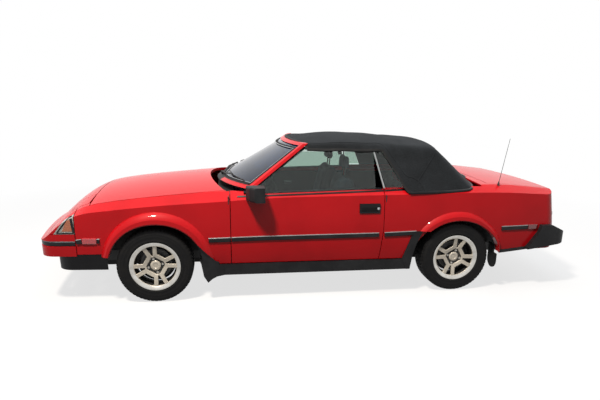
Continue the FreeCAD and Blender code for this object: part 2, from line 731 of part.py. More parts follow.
# axle, station, crown height, half width and height of the roof edge,
# half width and height of the window line, half width and height of the belt
ROOF_SECTIONS = [
    ("F", 1085, 1240, 520, 1222, 588, 1192, 776, 904),
    ("F", 1228, 1262, 520, 1238, 590, 1205, 780, 900),
    ("F", 1400, 1286, 520, 1246, 592, 1206, 786, 896),
    ("F", 1640, 1297, 520, 1252, 594, 1204, 792, 892),
    ("R", -600, 1282, 515, 1242, 594, 1192, 794, 888),
    ("R", -250, 1256, 500, 1218, 590, 1165, 794, 880),
    ("R", 50, 1238, 480, 1205, 575, 1150, 790, 874),
    ("R", 300, 1215, 470, 1180, 560, 1130, 780, 868),
]


def roof_outline(axle, dx, crown, edge_half, edge_z, line_half, line_z, belt_half, belt_z, shell):
    x = fore(dx) if axle == "F" else aft(dx)
    belt = V(x, belt_half - shell, belt_z - 2 * shell)
    line = V(x, line_half - shell, line_z - shell * 0.7)
    turn = V(x, (line_half + edge_half) / 2 + 12 - shell * 0.8, (line_z + edge_z) / 2 + 14 - shell * 0.8)
    edge = V(x, edge_half - shell * 0.5, edge_z - shell)

    def flip(p):
        return V(p.x, -p.y, p.z)

    return chain((flip(belt), flip(line)), (flip(line), flip(turn), flip(edge)),
                 (flip(edge), V(x, 0, crown - shell), edge), (edge, turn, line), (line, belt),
                 (belt, flip(belt)))


def roof_form(shell):
    return Part.makeLoft([roof_outline(*row, shell) for row in ROOF_SECTIONS], True, False)


def back_form(shell):
    """Everything ahead of the sloping, bowed back of the top."""
    def level(z, centre_x, side_x, side_y):
        x0, x1, far = centre_x - shell * 1.5, side_x - shell * 1.5, fore(1000)
        return chain((V(x1, -side_y, z), V(x0, 0, z), V(x1, side_y, z)),
                     (V(x1, side_y, z), V(x1 - 260, 1100, z)), (V(x1 - 260, 1100, z), V(far, 1100, z)),
                     (V(far, 1100, z), V(far, -1100, z)), (V(far, -1100, z), V(x1 - 260, -1100, z)),
                     (V(x1 - 260, -1100, z), V(x1, -side_y, z)))
    return Part.makeLoft([level(830, aft(350), aft(250), 640), level(1300, aft(-180), aft(-240), 500)],
                         True, True)


REAR_LIGHT = (420.0, 950.0, 1150.0)      # half width, lower and upper height of the rear window


def rear_light_box(grow):
    half, low, high = REAR_LIGHT
    return box(aft(-150), aft(600), -half - grow, half + grow, low - grow, high + grow)


def make_soft_top():
    wall = size("FabricWall")
    top = roof_form(0).common(back_form(0)).cut(roof_form(wall).common(back_form(wall)))
    window = prism_xz([(fore(1000), 700), (fore(1000), 1186), (fore(1240), 1194), (DOOR_REAR_X + 22, 1188),
                       (DOOR_REAR_X + 190, 896), (DOOR_REAR_X + 190, 700)], -LIMIT, -400)
    top = top.cut(window).cut(mirrored(window)).cut(rear_light_box(0))
    top = top.cut(screen_solid(60, 40, -240, 292))
    return clean(top.cut(body_form(-1)))


def make_rear_window():
    pane = roof_form(0).common(back_form(3)).cut(back_form(7))
    return clean(pane.common(rear_light_box(-1)))


BOW_STATIONS, BOW_DROP, BOW_DEPTH, BOW_WIDTH = (1500, 1860, 2230), 30.0, 16.0, 30.0


def make_bows():
    """Bows under the fabric, with their side pieces."""
    band = roof_form(BOW_DROP).cut(roof_form(BOW_DROP + BOW_DEPTH))
    cuts = [band.common(box(fore(dx), fore(dx) + BOW_WIDTH, -LIMIT, LIMIT, 1150, 1400)) for dx in BOW_STATIONS]
    return Part.makeCompound([s for c in cuts for s in c.Solids])


# ---------------------------------------------------------------- inner arches

def make_arches():
    """Inner wheel arches as half drums; the front ones carry the strut towers."""
    lean = math.radians(size("SteerLean"))
    foot = V(X_FRONT, -size("BodyHalfWidth") + size("SteerOffset"), AXLE_Z)
    way = V(0, math.sin(lean), math.cos(lean))
    found = []
    for x, room, inner, front_low, rear_low in ((X_FRONT, size("ArchClear"), 446, 408, 312),
                                                (X_REAR, SKIN + 8, 580, 312, 356)):
        drum = arch_space(x, room + 4, -800, -inner).cut(arch_space(x, room, -801, -inner - 4))
        walls = box(x - 700, x, -LIMIT, 0, front_low, LIMIT).fuse(box(x, x + 700, -LIMIT, 0, rear_low, LIMIT))
        drum = drum.common(walls.cut(box(x - 170, x + 170, -LIMIT, 0, 0, AXLE_Z + 110))).common(inner_lid)
        if x == X_FRONT:
            bore = size("SpringRadius") + 13
            tower = Part.makeCylinder(bore + 10, 160, foot + way * 310, way)
            drum = drum.fuse(tower).cut(Part.makeCylinder(bore, 250, foot + way * 200, way))
        found.append(drum)
    return both(Part.makeCompound([s for f in found for s in clean(f).Solids]))


# ---------------------------------------------------------------- wheels, hubs and steering

def make_tyre(name):
    """Tyre turned about Y, its outer side towards -Y."""
    section = [("-TyreWidth / 2 + 18", "SeatRadius"), ("-TyreWidth / 2 + 15", "LipRadius + 2"),
               ("-TyreWidth / 2 + 3", "LipRadius + 16"), ("-TyreWidth / 2", "TyreRadius - 58"),
               ("-TyreWidth / 2 + 7", "TyreRadius - 18"), ("-TyreWidth / 2 + 26", "TyreRadius"),
               ("TyreWidth / 2 - 26", "TyreRadius"), ("TyreWidth / 2 - 7", "TyreRadius - 18"),
               ("TyreWidth / 2", "TyreRadius - 58"), ("TyreWidth / 2 - 3", "LipRadius + 16"),
               ("TyreWidth / 2 - 15", "LipRadius + 2"), ("TyreWidth / 2 - 18", "SeatRadius")]
    return turned(name, section)


def make_rim(name):
    """Alloy wheel: four brackets of two legs joined by a bar, over a recessed hub with a cap."""
    side = "TyreWidth / 2"
    section = [("-%s + 4" % side, "LipRadius"), ("-%s + 13" % side, "LipRadius"),
               ("-%s + 18" % side, "SeatRadius"), ("%s - 18" % side, "SeatRadius"),
               ("%s - 13" % side, "LipRadius"), ("%s - 4" % side, "LipRadius"),
               ("%s - 8" % side, "BarrelRadius"), ("-%s + 48" % side, "BarrelRadius"),
               ("-%s + 56" % side, "HubRecess + 4"), ("-%s + 80" % side, "HubRecess + 4"),
               ("-%s + 80" % side, "0"), ("-%s + 26" % side, "0"), ("-%s + 26" % side, "CapRadius - 4"),
               ("-%s + 42" % side, "CapRadius"), ("-%s + 44" % side, "HubRecess - 2"),
               ("-%s + 26" % side, "HubRecess + 6"), ("-%s + 20" % side, "BarrelRadius - 12"),
               ("-%s + 10" % side, "BarrelRadius - 2"), ("-%s + 4" % side, "LipRadius - 12")]
    body = turned(name, section)
    leg, bar = "SpokeWidth / 2", "(BarMiddle + SpokeWidth / 2)"
    reach = "(BarrelRadius - 4)"
    inner = "%s * 0.577 - %s / 0.866" % (bar, leg)
    wide = "(%s * 0.485 - %s * 0.866)" % (reach, leg)
    broad = [(bar, inner), (reach + " * 0.9", wide), (reach, wide + " * 0.4"),
             (reach, "-" + wide + " * 0.4"), (reach + " * 0.9", "-" + wide), (bar, "-(%s)" % inner)]
    root = "(BarMiddle + 6)"
    slim_in = "(%s * 0.268 - %s / 0.966)" % (root, leg)
    slim_out = "(%s * 0.26 - %s)" % (reach, leg)
    narrow = [(root, slim_in), (reach + " * 0.98", slim_out), (reach + " * 0.98", "-" + slim_out),
              (root, "-" + slim_in)]
    for label, corners, turn in (("broad", broad, 0), ("narrow", narrow, 45)):
        before = body.Shape.Volume
        opening = sketch(body, name + "_" + label, "XZ_Plane", corners, turn)
        pocket = body.newObject("PartDesign::Pocket", name + "_" + label + "_cut")
        pocket.Profile = opening
        pocket.Type = 1
        pocket.Midplane = True
        doc.recompute()
        pattern = body.newObject("PartDesign::PolarPattern", name + "_" + label + "_ring")
        pattern.Originals = [pocket]
        pattern.Axis = (base_plane(body, "Y_Axis"), [""])
        pattern.Angle = 360
        pattern.Occurrences = 4
        body.Tip = pattern
        doc.recompute()
        if body.Shape.Volume > before - 1000:
            raise RuntimeError("%s windows cut nothing" % label)
    return body


# axle, side, turn of the brackets about the axle
WHEELS = [("front", LEFT, -59), ("front", RIGHT, -20), ("rear", LEFT, -30), ("rear", RIGHT, -75)]


def make_wheels():
    for axle, side, turn in WHEELS:
        word = "left" if side == LEFT else "right"
        axle_x = "FrontAxle" if axle == "front" else "RearAxle"
        outward = FreeCAD.Rotation(V(0, 0, 1), 0 if side == LEFT else 180)
        spun = FreeCAD.Rotation(V(0, 1, 0), turn)
        for kind, maker in (("tyre", make_tyre), ("rim", make_rim)):
            name = "%s_%s_%s" % (axle, word, kind)
            body = keep(maker(name), name)
            body.Placement = FreeCAD.Placement(V(0, 0, 0), outward.multiply(spun))
            sign = "-" if side == LEFT else ""
            place(body, axle_x, sign + "(WheelFace - TyreWidth / 2)", "TyreRadius")


def make_knuckle(name):
    """Left upright: carrier and spindle inside the rim, strut and spring along the steering axis."""
    lean = size("SteerLean")
    side = "(-BodyHalfWidth + SteerOffset)"
    carrier = solid("Cylinder", name + "_carrier", ("FrontAxle", side + " + 20", "TyreRadius"),
                    turn=((1, 0, 0), 90), Radius="60", Height="45")
    spindle = solid("Cylinder", name + "_spindle", ("FrontAxle", side, "TyreRadius"), turn=((1, 0, 0), 90),
                    Radius="27", Height="WheelFace - TyreWidth + 80 - TouchGap - BodyHalfWidth + SteerOffset")
    strut = solid("Cylinder", name + "_strut", ("FrontAxle", side, "TyreRadius"), turn=((1, 0, 0), -lean),
                  Radius="StrutRadius", Height="440")
    spring = solid("Cylinder", name + "_spring", (
        "FrontAxle", side + " + 332 * sin(SteerLean)", "TyreRadius + 332 * cos(SteerLean)"),
        turn=((1, 0, 0), -lean), Radius="SpringRadius", Height="108")
    return fuse(name, carrier, spindle, strut, spring)


def make_rear_axle():
    tube = solid("Cylinder", "axle_tube", ("RearAxle", "(WheelFace - TyreWidth + 80 - TouchGap)",
                 "TyreRadius"), turn=((1, 0, 0), 90), Radius="38",
                 Height="2 * (WheelFace - TyreWidth + 80 - TouchGap)")
    case = solid("Sphere", "axle_case", ("RearAxle", "0", "TyreRadius"), Radius="100")
    return fuse("rear_axle", tube, case)


def make_front_subframe():
    beam = block("cross_beam", ("FrontAxle - 60", "FrontAxle + 60"), ("-420", "420"), ("190", "250"))
    parts = [beam]
    for word, sign in (("left", -1), ("right", 1)):
        near, far = sorted((sign * 370, sign * 430))
        parts.append(block(word + "_rail", ("FrontAxle - 560", "FrontAxle + 495"), (str(near), str(far)),
                           ("240", "330")))
        near, far = sorted((sign * 400, sign * 645))
        parts.append(block(word + "_arm", ("FrontAxle - 30", "FrontAxle + 30"), (str(near), str(far)),
                           ("190", "215")))
    return fuse("front_subframe", *parts)


def make_exhaust():
    pipe = solid("Cylinder", "exhaust_pipe", ("FrontAxle + 300", "-170", "198"), turn=((0, 1, 0), 90),
                 Radius="24", Height="Wheelbase + 520")
    box_end = solid("Cylinder", "exhaust_box", ("RearAxle + 820", "300", "262"), turn=((1, 0, 0), 90),
                    Radius="62", Height="520")
    tail = solid("Cylinder", "exhaust_tail", ("RearAxle + 820", "220", "258"), turn=((0, 1, 0), 90),
                 Radius="22", Height="190")
    return fuse("exhaust", pipe, box_end, tail)


def make_steering_wheel():
    """Rim, boss and three spokes, square to the column."""
    lean = math.radians(size("ColumnLean"))
    way, up = V(-math.cos(lean), 0, -math.sin(lean)), V(-math.sin(lean), 0, math.cos(lean))
    hub = V(fore(size("ColumnX")), -size("SeatSide"), size("ColumnHeight"))
    radius = size("WheelRadius")
    shape = Part.makeTorus(radius, size("WheelRim"), hub, way)
    spokes = [Part.makeCylinder(42, 40, hub - way * 6, way)]
    for turn in (90, 180, 270):
        reach = up * math.cos(math.radians(turn)) + V(0, 1, 0) * math.sin(math.radians(turn))
        spokes.append(Part.makeCylinder(10, radius - 3, hub + way * 10, reach))
    return shape.fuse(spokes)


def column_rod(extra):
    lean = math.radians(size("ColumnLean"))
    way = V(-math.cos(lean), 0, -math.sin(lean))
    hub = V(fore(size("ColumnX")), -size("SeatSide"), size("ColumnHeight"))
    return Part.makeCylinder(26 + extra, 150, hub + way * 42, way)


# ---------------------------------------------------------------- floor, cabin and the rest

def make_floor():
    """Floor, tunnel, sills and stepped boot floor in one pressing."""
    z, wall, boot = size("FloorHeight"), size("FloorWall"), size("BootFloorHeight")
    front, kick, rear = fore(520), aft(-420), aft(860)
    side = [(front, z), (kick, z), (kick + 90, boot), (rear, boot), (rear, boot + wall),
            (kick + 84, boot + wall), (kick - 6, z + wall), (front, z + wall)]
    middle = prism_xz(side, -560, 560)
    wide = box(front, kick - 6, -786, 786, z, z + wall)
    sill = box(front, kick - 6, -786, -716, z + wall, size("DoorBottom") - 8)
    bore = box(front - 20, kick - 14, -100, 100, z - 5, z + 160)
    tunnel = box(front, kick - 6, -110, 110, z + wall, z + 170).cut(bore)
    floor = middle.cut(bore).fuse([wide.cut(bore), sill, mirrored(sill), tunnel])
    return clean(floor.removeSplitter())


def make_cabin():
    bulkhead = fuse("bulkhead",
                    block("firewall", ("FrontAxle + 498", "FrontAxle + 510"), ("-690", "690"),
                          ("FloorHeight + 20", "836")),
                    block("cowl_shelf", ("FrontAxle + 510", "FrontAxle + 630"), ("-684", "684"),
                          ("824", "836")))
    keep(bulkhead, "bulkhead")
    keep(block("rear_shelf", ("RearAxle - 150", "RearAxle + 226"), ("-600", "600"), ("838", "848")),
         "rear_shelf")
    dash = pad("dash_block", "XZ_Plane",
               [("FrontAxle + 640", "640"), ("FrontAxle + 640", "830"), ("FrontAxle + 740", "858"),
                ("FrontAxle + 880", "836"), ("FrontAxle + 905", "800"), ("FrontAxle + 885", "690"),
                ("FrontAxle + 820", "620")], "1364")
    soften(dash, 14, along_y)
    tool = doc.addObject("Part::Feature", "column_bore")
    tool.Shape = column_rod(0)
    keep(cut("dashboard", dash, tool), "dashboard")
    keep_shape("steering_column", column_rod(0))
    seats = []
    for word, sign in (("left", "-"), ("right", "")):
        at = ("0", sign + "SeatSide", "0")
        cushion = pad(word + "_cushion", "XZ_Plane",
                      [("FrontAxle + 1000", "330"), ("FrontAxle + 1000", "455"), ("FrontAxle + 1060", "492"),
                       ("FrontAxle + 1440", "462"), ("FrontAxle + 1440", "330")], "SeatWidth", at)
        back = pad(word + "_back", "XZ_Plane",
                   [("FrontAxle + 1448", "400"), ("FrontAxle + 1448", "500"), ("FrontAxle + 1556", "940"),
                    ("FrontAxle + 1585", "980"), ("FrontAxle + 1640", "975"), ("FrontAxle + 1655", "930"),
                    ("FrontAxle + 1560", "400")], "SeatWidth", at)
        rest = pad(word + "_headrest", "XZ_Plane",
                   [("FrontAxle + 1550", "1000"), ("FrontAxle + 1565", "1130"), ("FrontAxle + 1630", "1140"),
                    ("FrontAxle + 1640", "1000")], "250", at)
        seats += [soften(part, 14, along_y) for part in (cushion, back, rest)]
    keep(group("front_seats", *seats), "front_seats")
    bench = pad("bench_cushion", "XZ_Plane",
                [("RearAxle - 610", "440"), ("RearAxle - 600", "505"), ("RearAxle - 560", "525"),
                 ("RearAxle - 320", "495"), ("RearAxle - 320", "440")], "1100")
    bench_back = pad("bench_back", "XZ_Plane",
                     [("RearAxle - 312", "440"), ("RearAxle - 312", "500"), ("RearAxle - 235", "825"),
                      ("RearAxle - 165", "830"), ("RearAxle - 215", "440")], "1100")
    keep(group("rear_seat", soften(bench, 12, along_y), soften(bench_back, 12, along_y)), "rear_seat")


def make_running_gear():
    keep(block("engine", ("FrontAxle - 250", "FrontAxle + 380"), ("-220", "220"), ("270", "740")), "engine")
    keep(make_front_subframe(), "front_subframe")
    keep(make_rear_axle(), "rear_axle")
    keep(make_exhaust(), "exhaust")
    tank = pad("fuel_tank", "XZ_Plane",
               [("RearAxle + 330", "280"), ("RearAxle + 370", "240"), ("RearAxle + 700", "240"),
                ("RearAxle + 720", "270"), ("RearAxle + 720", "BootFloorHeight - 8"),
                ("RearAxle + 330", "BootFloorHeight - 8")], "900")
    keep(soften(tank, 12, along_y), "fuel_tank")
    make_wheels()
    keep(make_knuckle("left_knuckle"), "left_knuckle")
    keep(mirror("right_knuckle", pieces["left_knuckle"]), "right_knuckle")
    foot = solid("Cylinder", "antenna_foot", ("RearAxle + 387", "-712", "904"), Radius="9", Height="12")
    mast = solid("Cone", "antenna_mast", ("RearAxle + 387", "-712", "906"), turn=((-0.16, 0.99, 0), 9.2),
                 Radius1="3", Radius2="1.5", Height="398")
    keep(fuse("antenna", foot, mast), "antenna")


def make_door_fittings():
    door_x = "(FrontAxle + DoorFront)"
    shell = pad("mirror_shell", "XY_Plane",
                [(door_x + " + 118", "-806"), (door_x + " + 148", "-905"), (door_x + " + 186", "-948"),
                 (door_x + " + 268", "-948"), (door_x + " + 268", "-806")], "116", ("0", "0", "877"))
    soften(shell, 16, lambda edge: edge.BoundBox.XMax < DOOR_FRONT_X + 267)
    foot = block("mirror_foot", (door_x + " + 150", door_x + " + 240"), ("-812", "-770"), ("856", "905"))
    left = cut("left_mirror", fuse("mirror_whole", shell, foot), pieces["left_door"])
    keep(left, "left_mirror")
    keep(mirror("right_mirror", left), "right_mirror")
    rear_x = "(RearAxle - DoorRear)"
    plate = block("handle_plate", (rear_x + " - 209", rear_x + " - 38"), ("-830", "-812.5"), ("700", "777"))
    grip = block("handle_grip", (rear_x + " - 195", rear_x + " - 52"), ("-840", "-817"), ("712", "748"))
    keep(cut("left_door_handle", plate, grip), "left_door_handle")
    keep(mirror("right_door_handle", pieces["left_door_handle"]), "right_door_handle")


def keep_shape(name, shape):
    """Put a computed shape in the document as a node of its own."""
    item = doc.addObject("Part::Feature", name)
    item.Shape = shape
    return keep(item, name)


# node, maker: panels and shells whose surfaces come from the master forms, in the order they are needed
COMPUTED = [
    ("hood", make_hood), ("trunk_lid", make_boot_lid), ("front_fenders", make_fenders),
    ("quarter_panels", make_quarters), ("rear_panel", make_rear_panel), ("tail_lamps", make_tail_lamps),
    ("quarter_glass", make_quarter_glass), ("corner_lamps", make_corner_lamps),
    ("nose_panel", make_nose_panel), ("front_bumper", make_front_bumper), ("air_dam", make_air_dam),
    ("rear_bumper", make_rear_bumper), ("wheel_flares", make_flares), ("sill_skirts", make_skirts),
    ("mud_flaps", make_mud_flaps), ("windscreen_frame", make_screen_frame), ("windscreen", make_screen),
    ("soft_top", make_soft_top), ("rear_window", make_rear_window), ("roof_bows", make_bows),
    ("floor_pan", make_floor), ("wheel_arches", make_arches), ("steering_wheel", make_steering_wheel),
]
HANDED = [
    ("door", make_door), ("door_glass", lambda: door_pane(size("GlassWall"))), ("headlamp", make_headlamp),
    ("headlamp_lens", lens_shape),
]


def main():
    for name, maker in COMPUTED:
        keep_shape(name, maker())
    for name, maker in HANDED:
        left = keep_shape("left_" + name, maker())
        keep(mirror("right_" + name, left), "right_" + name)
    make_cabin()
    make_running_gear()
    make_door_fittings()
    doc.recompute()
    for item in doc.Objects:
        if "Invalid" in item.State or "Error" in item.State:
            raise RuntimeError("%s is %s" % (item.Label, item.State))
    for name, item in pieces.items():
        if item.Shape.isNull() or not item.Shape.isValid():
            raise RuntimeError("%s has a bad shape" % name)
    os.makedirs("parts", exist_ok=True)
    for name, item in pieces.items():
        item.Shape.exportStep("parts/%s.step" % name)
        print(name, len(item.Shape.Solids), round(item.Shape.Volume / 1e6, 2))


main()
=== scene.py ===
"""Two-door convertible car with its fabric top closed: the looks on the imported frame.

Everything is in metres in the car's own frame: front towards -X, left side towards -Y, +Z up.
"""
import json
import logging
import math
from dataclasses import dataclass, field
from enum import Enum
from typing import Callable, Iterable, Optional, Sequence

import bmesh
import bpy
import numpy as np
from mathutils import Matrix, Vector
from mathutils.bvhtree import BVHTree


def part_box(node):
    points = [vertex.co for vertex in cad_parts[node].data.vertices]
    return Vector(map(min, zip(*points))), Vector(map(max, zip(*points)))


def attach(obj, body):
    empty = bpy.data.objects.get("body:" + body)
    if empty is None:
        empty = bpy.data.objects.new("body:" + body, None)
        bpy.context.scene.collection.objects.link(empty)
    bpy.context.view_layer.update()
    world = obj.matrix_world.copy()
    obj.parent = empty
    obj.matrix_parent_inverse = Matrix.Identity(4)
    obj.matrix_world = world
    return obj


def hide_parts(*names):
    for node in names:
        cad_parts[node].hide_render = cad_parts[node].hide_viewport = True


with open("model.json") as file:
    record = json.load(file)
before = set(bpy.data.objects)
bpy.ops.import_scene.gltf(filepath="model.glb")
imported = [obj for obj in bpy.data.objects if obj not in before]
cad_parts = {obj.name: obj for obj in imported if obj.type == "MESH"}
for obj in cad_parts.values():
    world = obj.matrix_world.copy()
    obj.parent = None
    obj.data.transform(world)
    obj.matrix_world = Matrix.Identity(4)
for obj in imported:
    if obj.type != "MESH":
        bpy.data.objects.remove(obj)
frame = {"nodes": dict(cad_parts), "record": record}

log = logging.getLogger("convertible")
Point = tuple[float, float, float]
Corners = Sequence[tuple[float, float]]
Outline = tuple[tuple[float, float], ...]
Found = Optional[tuple[Vector, Vector]]         # a point on a surface and its outward normal
Projection = Callable[[float, float], Found]
Shape = bmesh.types.BMesh
Item = bpy.types.Object
Tree = bpy.types.NodeTree
Node = bpy.types.Node
Socket = bpy.types.NodeSocket
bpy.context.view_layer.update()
WAVE_TURN = 6.28         # the wave texture runs through one wave in a turn of its coordinate


class Side(Enum):
    """Left and right of the car, by the sign of Y."""

    LEFT = -1
    RIGHT = 1

    @property
    def word(self) -> str:
        """The side as it stands in node and body names."""
        return self.name.lower()


class Axle(Enum):
    """Front and rear axle."""

    FRONT = "front"
    REAR = "rear"


# ---------------------------------------------------------------- places


def centre(node: str) -> Vector:
    """Middle of a CAD node's box."""
    low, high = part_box(node)
    return (low + high) / 2


@dataclass(frozen=True)
class Places:
    """Places along the car, read from the frame."""

    front_axle: float = field(default_factory=lambda: centre("front_left_tyre").x)
    rear_axle: float = field(default_factory=lambda: centre("rear_left_tyre").x)

    def fore(self, mm: float) -> float:
        """Place measured back from the front axle, in millimetres."""
        return self.front_axle + mm / 1000

    def aft(self, mm: float) -> float:
        """Place measured back from the rear axle, in millimetres."""
        return self.rear_axle + mm / 1000


AT = Places()


# ---------------------------------------------------------------- material nodes


def linear(colour: str) -> tuple[float, float, float, float]:
    """Turn an sRGB hex colour into the linear one that shaders take.

    Args:
        colour: Six hex digits, with or without a leading #.

    Returns:
        Red, green, blue and an alpha of 1.
    """
    digits = colour.lstrip("#")
    out = []
    for i in (0, 2, 4):
        c = int(digits[i:i + 2], 16) / 255
        out.append(c / 12.92 if c <= 0.04045 else ((c + 0.055) / 1.055) ** 2.4)
    return (out[0], out[1], out[2], 1.0)


def feed(tree: Tree, node: Node, inputs: dict) -> None:
    """Set a node's inputs.

    Args:
        tree: The node tree.
        node: The node.
        inputs: Socket name or number, and the value or the output socket that feeds it.
    """
    for key, value in inputs.items():
        socket = node.inputs[key]
        if isinstance(value, Socket):
            tree.links.new(value, socket)
        else:
            socket.default_value = value


def add_node(tree: Tree, kind: str, inputs: Optional[dict] = None, **settings) -> Node:
    """Add one node with its settings, constants and links.

    Args:
        tree: The node tree it goes in.
        kind: The node's type name.
        inputs: Socket name or number, and the value or the output socket that feeds it.
        **settings: Properties of the node itself.

    Returns:
        The new node.
    """
    node = tree.nodes.new(kind)
    for name, value in settings.items():
        setattr(node, name, value)
    feed(tree, node, inputs or {})
    return node


def ramp(tree: Tree, factor: Socket, stops: Sequence[tuple[float, str]]) -> Socket:
    """Colours along a factor.

    Args:
        tree: The node tree.
        factor: What drives the ramp.
        stops: Place from 0 to 1 and hex colour of each stop.

    Returns:
        The colour output.
    """
    node = add_node(tree, "ShaderNodeValToRGB", {"Fac": factor})
    band = node.color_ramp
    while len(band.elements) < len(stops):
        band.elements.new(0.5)
    for element, (place, colour) in zip(band.elements, stops):
        element.position = place
        element.color = linear(colour)
    return node.outputs["Color"]


@dataclass(frozen=True)
class Draft:
    """A material in the making: its node tree, its Principled node and the object's own coordinates."""

    tree: Tree
    shader: Node
    place: Socket

    def give(self, inputs: dict) -> None:
        """Set or feed inputs of the Principled node, by name."""
        feed(self.tree, self.shader, inputs)

    def colours(self, factor: Socket, stops: Sequence[tuple[float, str]]) -> None:
        """Colour the surface by hex stops along a factor."""
        self.give({"Base Color": ramp(self.tree, factor, stops)})

    def noise(self, size_mm: float, detail: float = 2.0, rough: float = 0.5) -> Socket:
        """Noise whose blobs are about size_mm across."""
        inputs = {"Vector": self.place, "Scale": 1000 / size_mm, "Detail": detail, "Roughness": rough}
        return add_node(self.tree, "ShaderNodeTexNoise", inputs).outputs["Fac"]

    def waves(self, pitch_mm: float, way: str, place: Optional[Socket] = None, distortion: float = 0.0,
              form: str = "SIN") -> Socket:
        """Even bands across one axis.

        Args:
            pitch_mm: Distance from band to band.
            way: The axis that they cross.
            place: Coordinates, when not the object's own.
            distortion: How far they wander.
            form: The wave's profile.

        Returns:
            The pattern from 0 to 1.
        """
        return add_node(self.tree, "ShaderNodeTexWave", {
            "Vector": place or self.place, "Scale": 1000 / pitch_mm / WAVE_TURN, "Distortion": distortion},
            wave_type="BANDS", bands_direction=way, wave_profile=form).outputs["Fac"]

    def maths(self, operation: str, first: Socket, second: Socket) -> Node:
        """Join two patterns by one operation."""
        return add_node(self.tree, "ShaderNodeMath", {0: first, 1: second}, operation=operation)

    def roughness(self, factor: Socket, limits: dict) -> None:
        """Vary the roughness with a factor, between the limits of a map-range node."""
        level = add_node(self.tree, "ShaderNodeMapRange", {"Value": factor, **limits})
        self.give({"Roughness": level.outputs["Result"]})

    def bump(self, height: Socket, strength: float, depth_mm: float) -> None:
        """Raise the surface by a height pattern.

        Args:
            height: Pattern from 0 to 1.
            strength: How strongly it shows.
            depth_mm: Real depth of the pattern.
        """
        node = add_node(self.tree, "ShaderNodeBump", {"Height": height, "Strength": strength,
                                                      "Distance": depth_mm / 1000})
        self.give({"Normal": node.outputs["Normal"]})


@dataclass(frozen=True)
class Finish:
    """One real material: its name, colour and surface, with the pattern that its making leaves."""

    name: str
    colour: str
    roughness: float = 0.5
    metallic: float = 0.0
    ior: float = 1.5

    def made(self) -> bpy.types.Material:
        """Build the Blender material once.

        Returns:
            The material.
        """
        found = bpy.data.materials.get(self.name)
        if found:
            return found
        material = bpy.data.materials.new(self.name)
        material.use_nodes = True
        tree = material.node_tree
        tree.nodes.clear()
        shader = add_node(tree, "ShaderNodeBsdfPrincipled", {
            "Base Color": linear(self.colour), "Roughness": self.roughness, "Metallic": self.metallic})
        if self.metallic < 0.5:
            shader.inputs["IOR"].default_value = self.ior
        output = add_node(tree, "ShaderNodeOutputMaterial", {"Surface": shader.outputs["BSDF"]})
        self.dress(Draft(tree, shader, add_node(tree, "ShaderNodeTexCoord").outputs["Object"]))
        output.is_active_output = True
        material.diffuse_color = linear(self.colour)
        return material

    def dress(self, draft: Draft) -> None:
        """Add the pattern to the draft; the plain finish has none."""


@dataclass(frozen=True)
class BodyPaint(Finish):
    """Solid-colour base coat under clear lacquer: deep colour, sharp gloss on top, faint orange peel."""

    faded: str = "#C40D16"
    deep: str = "#B10710"

    def dress(self, draft: Draft) -> None:
        """Slight fading in broad patches, and orange peel in the lacquer.

        Args:
            draft: The material in the making.
        """
        draft.colours(draft.noise(420, 3.0), [(0.3, self.deep), (0.5, self.colour), (0.72, self.faded)])
        draft.give({"Coat Weight": 0.5, "Coat IOR": 1.3, "Coat Roughness": 0.04, "Specular IOR Level": 0.1})
        # real orange peel is 2 to 4 mm across; drawn 14 mm so that it shows at all
        draft.bump(draft.noise(14, 1.0), 0.05, 0.35)


@dataclass(frozen=True)
class Moulding(Finish):
    """Moulded polypropylene or ABS with an etched grain: broad soft highlights, worn lighter in places."""

    grain_mm: float = 3.0
    worn: str = "#2A2B2D"
    strength: float = 0.25

    def dress(self, draft: Draft) -> None:
        """Weathered patches and leather-like grain.

        Args:
            draft: The material in the making.
        """
        draft.give({"Specular IOR Level": 0.22})
        draft.colours(draft.noise(160, 4.0, 0.6), [(0.42, self.colour), (0.75, self.worn)])
        cells = add_node(draft.tree, "ShaderNodeTexVoronoi", {
            "Vector": draft.place, "Scale": 1000 / self.grain_mm}, feature="F1")
        draft.bump(cells.outputs["Distance"], self.strength, 0.3)


@dataclass(frozen=True)
class TyreRubber(Finish):
    """Cured carbon-black rubber: dark grey, almost no gloss, dusty in the grooves."""

    dust: str = "#191817"

    def dress(self, draft: Draft) -> None:
        """Dust film and fine moulded texture.

        Args:
            draft: The material in the making.
        """
        draft.colours(draft.noise(60, 5.0, 0.65), [(0.45, self.colour), (0.8, self.dust)])
        draft.bump(draft.noise(4, 2.0), 0.2, 0.25)
        draft.give({"Specular IOR Level": 0.25})


@dataclass(frozen=True)
class TopCloth(Finish):
    """Acrylic twill bonded to a rubber layer: matt charcoal, with a diagonal weave and a soft sheen."""

    light: str = "#292C2F"
    thread_mm: float = 5.0

    def dress(self, draft: Draft) -> None:
        """Twill weave from two crossed bands, with dust and fading.

        Args:
            draft: The material in the making.
        """
        draft.give({"Sheen Weight": 0.1, "Sheen Roughness": 0.45, "Sheen Tint": linear("#9AA0A6"),
                    "Specular IOR Level": 0.12})
        both = draft.maths("MULTIPLY_ADD", draft.noise(240, 4.0, 0.6), draft.noise(9, 2.0, 0.7))
        both.inputs[2].default_value = 0.12
        draft.colours(both.outputs["Value"], [(0.25, self.colour), (0.6, self.light)])
        # threads are under 1 mm in the real cloth; drawn 5 mm apart so that the twill shows
        bands = []
        for turn in ((0.0, 0.0, 0.78), (0.0, 0.62, -0.5)):
            mapping = add_node(draft.tree, "ShaderNodeMapping", {"Vector": draft.place, "Rotation": turn})
            bands.append(draft.waves(self.thread_mm, "X", mapping.outputs["Vector"], 0.4))
        draft.bump(draft.maths("MULTIPLY", *bands).outputs["Value"], 0.35, 0.5)


